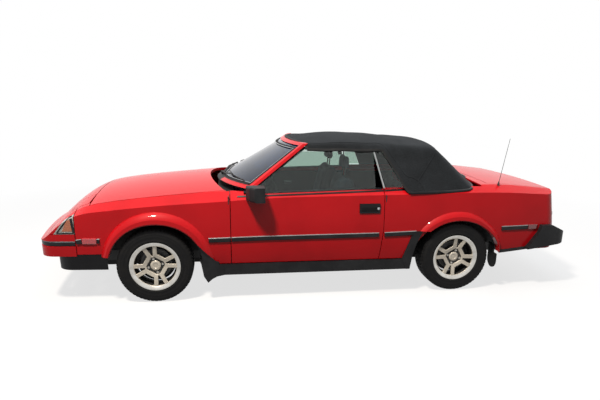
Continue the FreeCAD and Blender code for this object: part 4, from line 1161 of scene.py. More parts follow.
@dataclass
class FrontEnd:
    """Corner-lamp lenses and frames, the strip round the bumper and the slatted intake in the dam."""

    lamp: Outline = ((-716, 577), (-590, 577), (-606, 701), (-624, 692))
    amber: Outline = ((-678, 590), (-602, 590), (-613, 688), (-634, 684))
    strip_height: float = 0.491
    strip_angle: float = 92.3
    strip_points: int = 70
    strip_flat: float = 0.46
    slats: int = 5

    def at_side(self, panel: Panelwork) -> Projection:
        """Projection on the left side from place behind the axle and height, in millimetres."""
        return lambda fore, height: panel.side(AT.fore(fore), height / 1000)

    def corner_lamps(self) -> None:
        """Amber lens over the rear half of each corner lamp, and the black frame round it all."""
        lens = Panelwork("corner_lamps")
        amber = bmesh.new()
        patch(amber, self.amber, self.at_side(lens), 1.2, 0.5)
        piece("corner_lamp_amber", both_sides(amber), "root", "clear_lens", AMBER_LENS)
        border = bmesh.new()
        around = Panelwork("corner_lamps", "nose_panel", "front_fenders", "front_bumper")
        edges = list(zip(self.lamp, self.lamp[1:] + self.lamp[:1]))
        for (start, end), half in zip(edges, (4, 9, 9, 5)):
            found = [around.side(AT.fore(start[0] + (end[0] - start[0]) * t),
                                 (start[1] + (end[1] - start[1]) * t) / 1000) for t in between(0, 1, 9)]
            kept = [f for f in found if f]
            if len(kept) > 2:
                follow(border, kept, metres(((-half, -2), (-half, 2), (0, 3.5), (half, 2), (half, -2))))
        piece("corner_lamp_frames", both_sides(border), "root", "black_plastic", BLACK_POLY)

    def bumper_strip(self) -> None:
        """Black strip round the nose in the bumper's groove, with a satin edge along its top that is a
        painted highlight.
        """
        bumper = Panelwork("front_bumper")
        middle = Vector((AT.fore(-620), 0, self.strip_height))
        path, out = [], []
        for a in between(self.strip_angle, -self.strip_angle, self.strip_points):
            way = Vector((-math.cos(math.radians(a)), math.sin(math.radians(a)), 0))
            found = bumper.hit(middle + way * 1.4, -way)
            if found:
                path.append(found[0])
                out.append(Vector((found[1].x, found[1].y, 0)).normalized())
        for name, profile, finish, slot in (("bumper_strip", STRIP, BLACK_STRIP, "black_plastic"),
                                            ("bumper_strip_highlight_edge", STRIP_HIGHLIGHT_EDGE, SATIN_METAL_AND_HIGHLIGHT, "alloy")):
            shape = bmesh.new()
            sweep(shape, path, out, [(a / 1000, b * self.strip_flat / 1000) for a, b in profile])
            piece(name, shape, "root", slot, finish)

    def intake(self) -> None:
        """Slats across the opening under the bumper, and the radiator's core behind them."""
        dam = Panelwork("air_dam")
        found = dam.hit(Vector((-3, 0, 0.33)), Vector((1, 0, 0)))
        if not found:
            return
        face = found[0].x
        unit = bmesh.new()
        bar(unit, (0.004, -0.26, -0.004), (0.022, 0.26, 0.004), 2.5)
        slats = repeated(unit, self.slats, Vector((face, 0, 0.283)), BLACK_POLY, step=(0, 0, 0.019))
        piece("intake_slats", slats, "root", "black_plastic", BLACK_POLY)
        core = bmesh.new()
        bar(core, (face + 0.10, -0.62, 0.262), (face + 0.13, 0.62, 0.42), 4)
        piece("radiator_core", core, "root", "dark_steel", BLACK_ENAMEL_AND_SEAM_SHADE)

    def build(self) -> None:
        """Fit everything on the front."""
        self.corner_lamps()
        self.bumper_strip()
        self.intake()


@dataclass
class RearEnd:
    """Tail-lamp segments with their ribs, blank plate with bolts, and the boot lock."""

    lamp_inner: float = 340
    lamp_outer: float = 728
    lamp_low: float = 638
    lamp_high: float = 803
    split: float = 716
    rib_half: float = 5
    lock_height: float = 790
    plate_half: tuple[float, float] = (152, 76)
    plate_height: float = 700
    bolt_spacing: float = 177.8

    def __post_init__(self) -> None:
        """Gather the panels that the fittings lie on."""
        self.tail = Panelwork("tail_lamps", "rear_panel", "trunk_lid")

    def project(self, y: float, z: float) -> Found:
        """Point of the tail seen from behind, from its place in millimetres."""
        return self.tail.hit(Vector((3.5, y / 1000, z / 1000)), Vector((-1, 0, 0)))

    def lamps(self) -> None:
        """The four fields of each tail lamp."""
        inner, outer, low, high = self.lamp_inner, self.lamp_outer, self.lamp_low, self.lamp_high
        above, below = self.split + self.rib_half, self.split - self.rib_half
        fields = (("tail_lamp_turn", 570, outer, above, high, AMBER_LENS),
                  ("tail_lamp_stop", inner, 564, above, high, RED_LENS),
                  ("tail_lamp_side", 486, outer, low, below, RED_LENS),
                  ("tail_lamp_reverse", inner, 480, low, below, CLEAR_LENS))
        for name, y0, y1, z0, z1, finish in fields:
            shape = bmesh.new()
            patch(shape, ((-y0, z0), (-y1, z0), (-y1, z1), (-y0, z1)), self.project, 4, 1, (12, 6))
            piece(name, both_sides(shape), "root", "tail_lens", finish)

    def wrap(self) -> None:
        """Dark edge where each tail lamp turns the corner."""
        found = []
        for z in between(self.lamp_low + 4, self.lamp_high - 4, 12):
            corner = self.project(-735, z)
            side = corner and self.tail.hit(Vector((corner[0].x - 0.013, -1.5, z / 1000)), Vector((0, 1, 0)))
            if side:
                found.append(side)
        if len(found) > 2:
            shape = bmesh.new()
            follow(shape, found, metres(((-11, -2), (-11, 2), (0, 3), (11, 2), (11, -2))))
            piece("tail_lamp_wrap", both_sides(shape), "root", "tail_lens", DARK_LENS)

    def mast(self) -> None:
        """Tapered antenna mast on its foot."""
        low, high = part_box("antenna")
        shape = bmesh.new()
        y = (low.y + high.y) / 2
        foot, tip = Vector((low.x + 0.010, y, low.z + 0.010)), Vector((high.x - 0.003, y, high.z - 0.001))
        length = (tip - foot).length
        turned(shape, [(0, 0), (0, 0.0024), (length - 0.002, 0.0017), (length, 0)], foot, tip - foot, 12)
        turned(shape, metres(((-10, 0), (-10, 10), (2, 9.5), (10, 6), (22, 4), (24, 0))), foot,
               Vector((0.1, 0, 1)), 24)
        piece("antenna_mast", shape, "root", "dark_steel", BLACK_ENAMEL_AND_SEAM_SHADE, replaces=("antenna",))

    def lock(self) -> None:
        """The boot's lock."""
        found = self.project(0, self.lock_height)
        if found:
            shape = bmesh.new()
            turned(shape, metres(((-4, 0), (-4, 14), (4, 14), (6, 11), (4, 6), (4, 0))), found[0],
                   Vector((1, 0, 0)), 32)
            piece("boot_lock", shape, "root", "alloy", BRIGHT_METAL_AND_HIGHLIGHT)

    def plate(self) -> None:
        """Blank number plate with a raised rim and two bolts."""
        seat = self.project(0, self.plate_height)
        if not seat:
            return
        x, z = seat[0].x, self.plate_height / 1000
        wide, tall = (v / 1000 for v in self.plate_half)
        shape = bmesh.new()
        bar(shape, (x + 0.001, -wide, z - tall), (x + 0.0035, wide, z + tall), 1.0)
        rim = [Vector((x + 0.0035, y, z + h)) for y, h in ((-wide, -tall), (wide, -tall), (wide, tall),
                                                            (-wide, tall))]
        for a, b in zip(rim, rim[1:] + rim[:1]):
            rail(shape, a, b, Vector((1, 0, 0)), metres(((-4, -1), (-3, 1.2), (3, 1.2), (4, -1))))
        piece("blank_plate", shape, "root", "alloy", PLATE)
        unit = bmesh.new()
        turned(unit, metres(((0, 0), (0, 7), (3, 6), (4, 0))), Vector((0, 0, 0)), Vector((1, 0, 0)), 20)
        step = self.bolt_spacing / 1000
        bolts = repeated(unit, 2, Vector((x + 0.0035, -step / 2, z + 0.05)), BRIGHT_METAL_AND_HIGHLIGHT, step=(0, step, 0))
        piece("plate_bolts", bolts, "root", "alloy", BRIGHT_METAL_AND_HIGHLIGHT)

    def build(self) -> None:
        """Fit everything on the tail."""
        self.lamps()
        self.wrap()
        self.mast()
        self.lock()
        self.plate()


# ---------------------------------------------------------------- screen and doors


@dataclass
class ScreenTrim:
    """Rubber seal round the windscreen with a bright line that is a painted highlight, the wipers and the
    inside mirror.
    """

    inset: float = 30
    low_part: float = 0.03
    high_part: float = 0.93

    def on(self, part: float, share: float, inset: float = 0.0, lift: float = 0.0) -> tuple[Vector, Vector]:
        """A place on the screen's outer face.

        Args:
            part: 0 at the foot, 1 at the header.
            share: -1 at the left edge, 1 at the right.
            inset: Distance kept from the side edge, in millimetres.
            lift: Distance above the face, in millimetres.

        Returns:
            The place and its outward normal.
        """
        def spot(p: float, s: float) -> Vector:
            """Find a place on the glass.

            Args:
                p: 0 at the foot, 1 at the header.
                s: -1 at the left edge, 1 at the right.

            Returns:
                The place.
            """
            half = 700 - 140 * p
            y = s * (half - inset)
            x = 770 + 410 * p - (235 - 135 * p) * (1 - (y / half) ** 2)
            return Vector((AT.fore(x), y / 1000, (915 + 307 * p) / 1000))
        here = spot(part, share)
        normal = (spot(part, share + 0.01) - here).cross(spot(part + 0.01, share) - here).normalized()
        if normal.x > 0:
            normal = -normal
        return here + normal * lift / 1000, normal

    def seal(self) -> None:
        """Seal, and a bright line that is a painted highlight along the screen's edge, as closed loops round
        the glass.
        """
        low, high = self.low_part, self.high_part
        ring = [self.on(p, -1, self.inset) for p in between(low, high, 14)]
        ring += [self.on(high, s, self.inset) for s in between(-0.95, 0.95, 21)]
        ring += [self.on(p, 1, self.inset) for p in between(high, low, 14)]
        ring += [self.on(low, s, self.inset) for s in between(0.95, -0.95, 21)]
        for name, finish, slot, profile in (
                ("screen_seal", RUBBER, "rubber", ((-12, -3), (-12, 1.5), (-6, 4), (8, 4), (12, -3))),
                # the bright line is a painted highlight along the edge of the screen and pillars
                ("screen_highlight_line", BRIGHT_METAL_AND_HIGHLIGHT, "alloy",
                 ((-14.5, 0), (-14.5, 3), (-12, 4.6), (-9.5, 3.6), (-9.5, 0)))):
            shape = bmesh.new()
            follow(shape, ring, metres(profile), closed=True)
            piece(name, shape, "root", slot, finish)

    def foot_cover(self) -> None:
        """Black panel over the frame's foot, the seals behind the pillars, and the side windows' dividers."""
        shape = bmesh.new()
        found = [self.on(-0.03, s, self.inset) for s in between(-0.99, 0.99, 41)]
        follow(shape, found, metres(((-30, -3), (-30, 2), (28, 2), (28, -3))))
        piece("cowl_cover", shape, "root", "black_plastic", BLACK_POLY)
        seal = bmesh.new()
        foot, head = Vector((AT.fore(806), -0.703, 0.915)), Vector((AT.fore(1214), -0.567, 1.216))
        path = [foot.lerp(head, t) for t in between(0.0, 1.0, 10)]
        out = (Vector((0, -0.91, 0.41))).normalized()
        sweep(seal, path, [out] * len(path), metres(((-5, -14), (-5, 1), (18, 1), (18, -14))))
        piece("pillar_seals", both_sides(seal), "root", "rubber", RUBBER)
        divider = bmesh.new()
        low, high = Vector((AT.fore(1848), -0.789, 0.900)), Vector((AT.fore(1799), -0.597, 1.178))
        rail(divider, low, high, out, metres(((-6, -8), (-6, 2), (6, 2), (6, -8))))
        piece("window_dividers", both_sides(divider), "root", "alloy", SATIN_METAL_AND_HIGHLIGHT)

    def wipers(self) -> None:
        """Two arms with blades parked along the foot of the screen."""
        shape = bmesh.new()
        for start, end in ((-0.86, -0.12), (-0.08, 0.66)):
            blade = [self.on(0.055 + 0.07 * t, start + (end - start) * t, 30, 11) for t in between(0, 1, 12)]
            follow(shape, blade, metres(((-4, -8), (-4, 2), (0, 6), (4, 2), (4, -8))))
            arm = [self.on(0.015 + 0.075 * t, end + 0.05 - (end - start) * 0.55 * t, 30, 20 - 4 * t)
                   for t in between(0, 1, 8)]
            follow(shape, arm, metres(((-6, -3), (-6, 3), (6, 3), (6, -3))))
            foot = arm[0][0]
            turned(shape, [(-0.02, 0), (-0.02, 0.012), (0.006, 0.013), (0.010, 0.009), (0.011, 0)], foot,
                   Vector((-0.3, 0, 1)), 24)
        piece("wipers", shape, "root", "dark_steel", BLACK_ENAMEL_AND_SEAM_SHADE)

    def inside_mirror(self) -> None:
        """Mirror on its stalk under the header."""
        stem = self.on(0.9, 0.0, 0, -14)[0]
        shape = bmesh.new()
        head = stem + Vector((0.055, 0, -0.045))
        rail(shape, stem, head, Vector((0, 1, 0)), metres(((-6, -6), (-6, 6), (6, 6), (6, -6))))
        bar(shape, head + Vector((-0.008, -0.12, -0.034)), head + Vector((0.012, 0.12, 0.022)), 9, 3)
        piece("inside_mirror", shape, "root", "interior_plastic", DASH_PLASTIC)

    def build(self) -> None:
        """Fit everything on the screen."""
        self.seal()
        self.foot_cover()
        self.wipers()
        self.inside_mirror()


@dataclass
class DoorFittings:
    """What each door carries besides its panel: mirror glass, lock, inner card with armrest and handle."""

    card_face: float = 704
    card_wall: float = 9
    card: tuple[float, float, float, float] = (700, 1832, 345, 838)
    armrest: tuple[float, float, float, float] = (1010, 1560, 560, 612)
    armrest_in: float = 650
    cap_middle: float = 733
    cap_half: float = 33

    def shapes(self) -> Iterable[tuple[str, Shape, str, Finish]]:
        """Make each fitting of the left door.

        Returns:
            Name, left-hand shape, slot and finish of each.
        """
        card = bmesh.new()
        x0, x1, z0, z1 = self.card
        inner, face = self.card_face - self.card_wall, self.card_face - 0.5
        bar(card, (AT.fore(x0), -face / 1000, z0 / 1000), (AT.fore(x1), -inner / 1000, z1 / 1000), 4, 2)
        a0, a1, b0, b1 = self.armrest
        bar(card, (AT.fore(a0), -inner / 1000, b0 / 1000), (AT.fore(a1), -self.armrest_in / 1000, b1 / 1000),
            16, 4)
        bar(card, (AT.fore(1120), -inner / 1000, 0.40), (AT.fore(1700), -(inner - 16) / 1000, 0.50), 7, 3)
        yield "card", card, "interior_plastic", DASH_PLASTIC
        cap = bmesh.new()
        door = Panelwork("left_door")
        found = [door.top(AT.fore(x), -self.cap_middle / 1000) for x in between(706, 1838, 24)]
        found = [f for f in found if f]
        half = self.cap_half / 1000
        sweep(cap, [f[0] for f in found], [Vector((0, 0, 1))] * len(found),
              [(-half, -0.004), (-half, 0.002), (-half * 0.8, 0.004), (half * 0.8, 0.004), (half, 0.002),
               (half, -0.004)])
        yield "top_cap", cap, "interior_plastic", DASH_PLASTIC
        pull = bmesh.new()
        for x0, x1, y0, y1, z0, z1, edge in ((1180, 1265, 1, 12, 0.70, 0.73, 4),
                                             (1590, 1602, -1, 8, 0.838, 0.858, 3)):
            bar(pull, (AT.fore(x0), -(inner - y0) / 1000, z0),
                (AT.fore(x1), -(inner - y1) / 1000, z1), edge, 3)
        yield "inner_handle", pull, "alloy", BRIGHT_METAL_AND_HIGHLIGHT
        lock = bmesh.new()
        low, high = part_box("left_door_handle")
        turned(lock, metres(((-3, 0), (-3, 11), (1, 11), (2, 8), (1, 3), (1, 0))),
               Vector((high.x - 0.014, low.y + 0.0015, (low.z + high.z) / 2)), Vector((0, -1, 0)), 28)
        yield "lock", lock, "alloy", BRIGHT_METAL_AND_HIGHLIGHT
        glass = bmesh.new()
        low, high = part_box("left_mirror")
        bar(glass, (high.x - 0.004, low.y + 0.012, low.z + 0.011),
            (high.x + 0.0004, low.y + 0.128, high.z - 0.011), 1.8, 2)
        yield "mirror_glass", glass, "glass", SILVERED

    def build(self) -> None:
        """Fit both doors."""
        for name, shape, slot, finish in self.shapes():
            door_pair(name, shape, slot, finish)


# ---------------------------------------------------------------- cabin


@dataclass
class Padding:
    """A sewn foam pad: its side outline, width and place, blown up by cloth simulation."""

    name: str
    outline: Outline
    width: float
    side: float = 0.0
    shrink: float = 15
    corner: float = 42
    voxel: float = 10
    pressure: float = 4.0
    frames: int = 20
    cap: float = 24
    fill: float = 0.7

    def start(self) -> Item:
        """Make the smaller rounded block that is blown up.

        Returns:
            The block, as an even mesh.
        """
        outline = np.array(self.outline)
        middle = (outline.min(axis=0) + outline.max(axis=0)) / 2
        extent = outline.max(axis=0) - outline.min(axis=0)
        outline = middle + (outline - middle) * (1 - 2 * self.shrink / extent)
        half = self.width / 2 - self.shrink
        shape = bmesh.new()
        rings = [[shape.verts.new((AT.fore(x), (self.side + y) / 1000, z / 1000)) for x, z in outline]
                 for y in (-half, half)]
        shape.faces.new(rings[0])
        shape.faces.new(list(reversed(rings[1])))
        skin(shape, rings, False)
        bmesh.ops.recalc_face_normals(shape, faces=shape.faces[:])
        bmesh.ops.bevel(shape, geom=shape.edges[:], offset=self.corner / 1000, segments=4, profile=0.5,
                        affect="EDGES", clamp_overlap=True)
        item = stand(self.name, mesh_of(self.name, shape))
        even = item.modifiers.new("even mesh", "REMESH")
        even.mode = "VOXEL"
        even.voxel_size = self.voxel / 1000
        self.settle(item)
        return item

    def settle(self, item: Item) -> None:
        """Replace the mesh by its evaluated one and drop the modifiers.

        Args:
            item: The pad.
        """
        made = evaluated(item)
        old = item.data
        item.modifiers.clear()
        item.data = made
        bpy.data.meshes.remove(old)

    def blow_up(self, item: Item) -> None:
        """Run the cloth simulation and cap how far each point moves.

        Args:
            item: The block, which is changed.
        """
        mesh = item.data
        before = np.empty(len(mesh.vertices) * 3)
        mesh.vertices.foreach_get("co", before)
        cloth = item.modifiers.new("cover", "CLOTH")
        cloth.settings.use_pressure = True
        cloth.settings.uniform_pressure_force = self.pressure
        cloth.settings.effector_weights.gravity = 0
        cloth.point_cache.frame_start = 1
        cloth.point_cache.frame_end = self.frames
        scene = bpy.context.scene
        for number in range(1, self.frames + 1):
            scene.frame_set(number)
        self.settle(item)
        after = np.empty_like(before)
        item.data.vertices.foreach_get("co", after)
        moved = (after - before).reshape(-1, 3)
        moved -= moved.mean(axis=0)
        length = np.linalg.norm(moved, axis=1, keepdims=True)
        moved *= np.minimum(1, self.cap / 1000 / np.maximum(length, 1e-9))
        item.data.vertices.foreach_set("co", (before.reshape(-1, 3) + moved).ravel())
        scene.frame_set(1)

    def build(self, replaces: Sequence[str]) -> Item:
        """Make the finished pad.

        Args:
            replaces: CAD nodes it stands for.

        Returns:
            The pad.
        """
        item = self.start()
        self.blow_up(item)
        finer = item.modifiers.new("smooth cover", "SUBSURF")
        finer.levels = finer.render_levels = 1
        self.settle(item)
        item.data.materials.clear()
        item.data.materials.append(SEAT.made())
        item.data.shade_smooth()
        self.declare(item, replaces)
        return item

    def declare(self, item: Item, replaces: Sequence[str]) -> None:
        """Attach the pad to the root body and hide the CAD nodes it stands for.

        Args:
            item: The pad.
            replaces: CAD nodes it stands for.
        """
        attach(item, "root")
        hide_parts(*replaces)
        log.info("%s: %d faces", item.name, len(item.data.polygons))

    def mirrored(self, item: Item, name: str, replaces: Sequence[str]) -> None:
        """Make the same pad on the right side.

        Args:
            item: The left pad.
            name: The new pad's name.
            replaces: CAD nodes it stands for.
        """
        shape = bmesh.new()
        shape.from_mesh(item.data)
        other = mirror_copy(shape)
        shape.free()
        mesh = mesh_of(name, other)
        mesh.materials.append(SEAT.made())
        mesh.shade_smooth()
        self.declare(stand(name, mesh), replaces)


@dataclass
class Seats:
    """Front seats and rear bench: sewn pads with piping on their frames."""

    seat_side: float = -370
    cushion: Outline = ((1000, 330), (1000, 455), (1060, 492), (1440, 462), (1440, 330))
    back: Outline = ((1448, 400), (1448, 500), (1556, 940), (1585, 980), (1640, 975),
                                             (1655, 930), (1560, 400))
    headrest: Outline = ((1550, 1000), (1565, 1130), (1630, 1140), (1640, 1000))
    bench: Outline = ((1890, 440), (1900, 505), (1940, 525), (2180, 495), (2180, 440))
    bench_back: Outline = ((2188, 440), (2188, 500), (2265, 825), (2335, 830), (2285, 440))
    seam_offset: float = 105
    piping_mm: float = 3.5

    def piping(self, name: str, pad: Item, places: Sequence[float], upright: bool) -> None:
        """Thin sewn cords along a pad, on both seats.

        Args:
            name: The new piece's name.
            pad: The pad that they lie on.
            places: Their distances from the car's middle, in millimetres.
            upright: True on a backrest, False on a cushion.
        """
        points = [v.co.copy() for v in pad.data.vertices]
        tree = BVHTree.FromPolygons(points, [tuple(p.vertices) for p in pad.data.polygons])
        low = Vector([min(p[i] for p in points) for i in range(3)])
        high = Vector([max(p[i] for p in points) for i in range(3)])
        r = self.piping_mm / 1000
        profile = [(r * math.cos(math.radians(a)), r * math.sin(math.radians(a))) for a in range(0, 360, 60)]
        shape = bmesh.new()
        for y in places:
            path, out = [], []
            for t in between(0.06, 0.94, 26):
                if upright:
                    start = Vector((low.x - 0.3, y / 1000, low.z + (high.z - low.z) * t))
                    way = Vector((1, 0, 0))
                else:
                    start = Vector((low.x + (high.x - low.x) * t, y / 1000, high.z + 0.3))
                    way = Vector((0, 0, -1))
                point, normal, _, _ = tree.ray_cast(start, way)
                if point:
                    path.append(point)
                    out.append(-way)
            if len(path) > 3:
                sweep(shape, path, out, profile)
        piece(name, both_sides(shape), "root", "seat_cloth", PIPING)

    def frames(self) -> None:
        """Rails and feet under the cushions, headrest rods and the bench's box."""
        shape = bmesh.new()
        for y in (-540, -200):
            bar(shape, (AT.fore(1030), (y - 14) / 1000, 0.300), (AT.fore(1420), (y + 14) / 1000, 0.348), 4)
            bar(shape, (AT.fore(990), (y - 22) / 1000, 0.238), (AT.fore(1440), (y + 22) / 1000, 0.258), 4)
            for x in (1050, 1380):
                bar(shape, (AT.fore(x - 18), (y - 8) / 1000, 0.250),
                    (AT.fore(x + 18), (y + 8) / 1000, 0.310), 3)
        piece("seat_rails", both_sides(shape), "root", "dark_steel", BLACK_ENAMEL_AND_SEAM_SHADE)
        rods = bmesh.new()
        for y in (-420, -320):
            turned(rods, [(-0.05, 0.0), (-0.05, 0.006), (0.06, 0.006), (0.06, 0.0)],
                   Vector((AT.fore(1600), y / 1000, 0.985)), Vector((0.1, 0, 1)), 20)
        piece("headrest_rods", both_sides(rods), "root", "dark_steel", BLACK_ENAMEL_AND_SEAM_SHADE)
        box = bmesh.new()
        bar(box, (AT.fore(1905), -0.53, 0.30), (AT.fore(2300), 0.53, 0.447), 10, 3)
        piece("bench_base", box, "root", "interior_plastic", CARPET)

    def build(self) -> None:
        """Make every pad, with its piping and frame."""
        side = self.seat_side
        for word, outline, width, upright in (("cushion", self.cushion, 500, False),
                                              ("back", self.back, 500, True),
                                              ("headrest", self.headrest, 250, None)):
            pad = Padding("left_seat_" + word, outline, width, side)
            item = pad.build(("front_seats",))
            pad.mirrored(item, "right_seat_" + word, ("front_seats",))
            if upright is not None:
                self.piping("seat_piping_" + word, item, (side - self.seam_offset, side + self.seam_offset),
                            upright)
        for word, outline, upright in (("bench_cushion", self.bench, False),
                                       ("bench_back", self.bench_back, True)):
            item = Padding(word, outline, 1100, voxel=12, corner=30, shrink=12, cap=22).build(("rear_seat",))
            self.piping(word + "_piping", item, (-60, -270, -480), upright)
        self.frames()


@dataclass
class CabinTrim:
    """Posts and trim panels that close the cabin's sides, the gear lever, and the dials' hood."""

    post: tuple[float, float, float, float] = (690, 816, 312, 848)

    def walls(self) -> None:
        """Door posts, black as painted shade in the seams, with kick panels, splash plates, and the trims
        beside the bench.
        """
        posts = bmesh.new()
        y0, y1, z0, z1 = (v / 1000 for v in self.post)
        for x0, x1 in ((580, 588), (1861, 1869)):
            bar(posts, (AT.fore(x0), -y1, z0), (AT.fore(x1), -y0, z1), 1.5, 1)
        bar(posts, (AT.fore(582), -0.685, z0), (AT.fore(646), -0.678, z1), 1.5, 1)
        # the posts are black, not body colour, so that the door seams show painted shade
        piece("door_posts_painted_seam_shade", both_sides(posts), "root", "underbody", BLACK_ENAMEL_AND_SEAM_SHADE)
        splash = bmesh.new()
        bar(splash, (AT.fore(-560), -0.425, 0.20), (AT.fore(492), -0.421, 0.70), 1, 1)
        bar(splash, (AT.aft(-330), -0.604, 0.24), (AT.aft(330), -0.600, 0.44), 1, 1)
        piece("splash_plates", both_sides(splash), "root", "underbody", UNDERSEAL)
        side = bmesh.new()
        bar(side, (AT.fore(1872), -0.696, 0.44), (AT.fore(2380), -0.684, 0.835), 5, 2)
        bar(side, (AT.fore(1900), -0.686, 0.60), (AT.fore(2180), -0.640, 0.64), 14, 3)
        piece("rear_side_trims", both_sides(side), "root", "interior_plastic", DASH_PLASTIC)

    def lever(self) -> None:
        """Gear lever in its gaiter."""
        shape = bmesh.new()
        bar(shape, (AT.fore(930), -0.055, 0.396), (AT.fore(1090), 0.055, 0.412), 5, 3)
        turned(shape, metres(((0, 0), (0, 45), (20, 36), (50, 16), (120, 8), (135, 8), (140, 18), (155, 26),
                              (175, 26), (190, 18), (194, 0))), Vector((AT.fore(1010), 0, 0.40)),
               Vector((0.12, 0, 1)), 32)
        piece("gear_lever", shape, "root", "interior_plastic", RUBBER)

    def belts(self) -> None:
        """Seat belts from the posts down to the sill."""
        shape = bmesh.new()
        top, end = Vector((AT.fore(1872), -0.676, 0.83)), Vector((AT.fore(1700), -0.664, 0.32))
        path = [top, top.lerp(end, 0.35) + Vector((0, -0.004, 0)), top.lerp(end, 0.7), end]
        sweep(shape, path, [Vector((0, 1, 0))] * 4, metres(((-23, -1), (-23, 1), (23, 1), (23, -1))))
        bar(shape, (AT.fore(1858), -0.684, 0.80), (AT.fore(1892), -0.668, 0.855), 6, 3)
        piece("seat_belts", both_sides(shape), "root", "interior_plastic", RUBBER)

    def dash(self) -> None:
        """Hood over the dials, and three slatted vents."""
        hood = bmesh.new()
        bar(hood, (AT.fore(760), -0.545, 0.845), (AT.fore(905), -0.195, 0.895), 18, 4)
        piece("dial_hood", hood, "root", "interior_plastic", DASH_PLASTIC)
        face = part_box("dashboard")[1].x
        slat = bmesh.new()
        bar(slat, (-0.002, -0.055, -0.0012), (0.007, 0.055, 0.0012), 0.8, 1)
        for name, y in (("left", -0.61), ("middle", 0.0), ("right", 0.61)):
            start = Vector((face - 0.001, y, 0.775))
            grille = repeated(slat.copy(), 6, start, BLACK_POLY, step=(0, 0, 0.008))
            piece("vent_" + name, grille, "root", "interior_plastic", BLACK_POLY)
        slat.free()

    def build(self) -> None:
        """Fit everything."""
        self.walls()
        self.lever()
        self.belts()
        self.dash()


# ---------------------------------------------------------------- soft top


@dataclass(frozen=True)
class TopSection:
    """One cross-section of the closed top, in millimetres: half widths and heights of its lines."""

    station: float
    crown: float
    edge_half: float
    edge_z: float
    line_half: float
    line_z: float
    belt_half: float
    belt_z: float


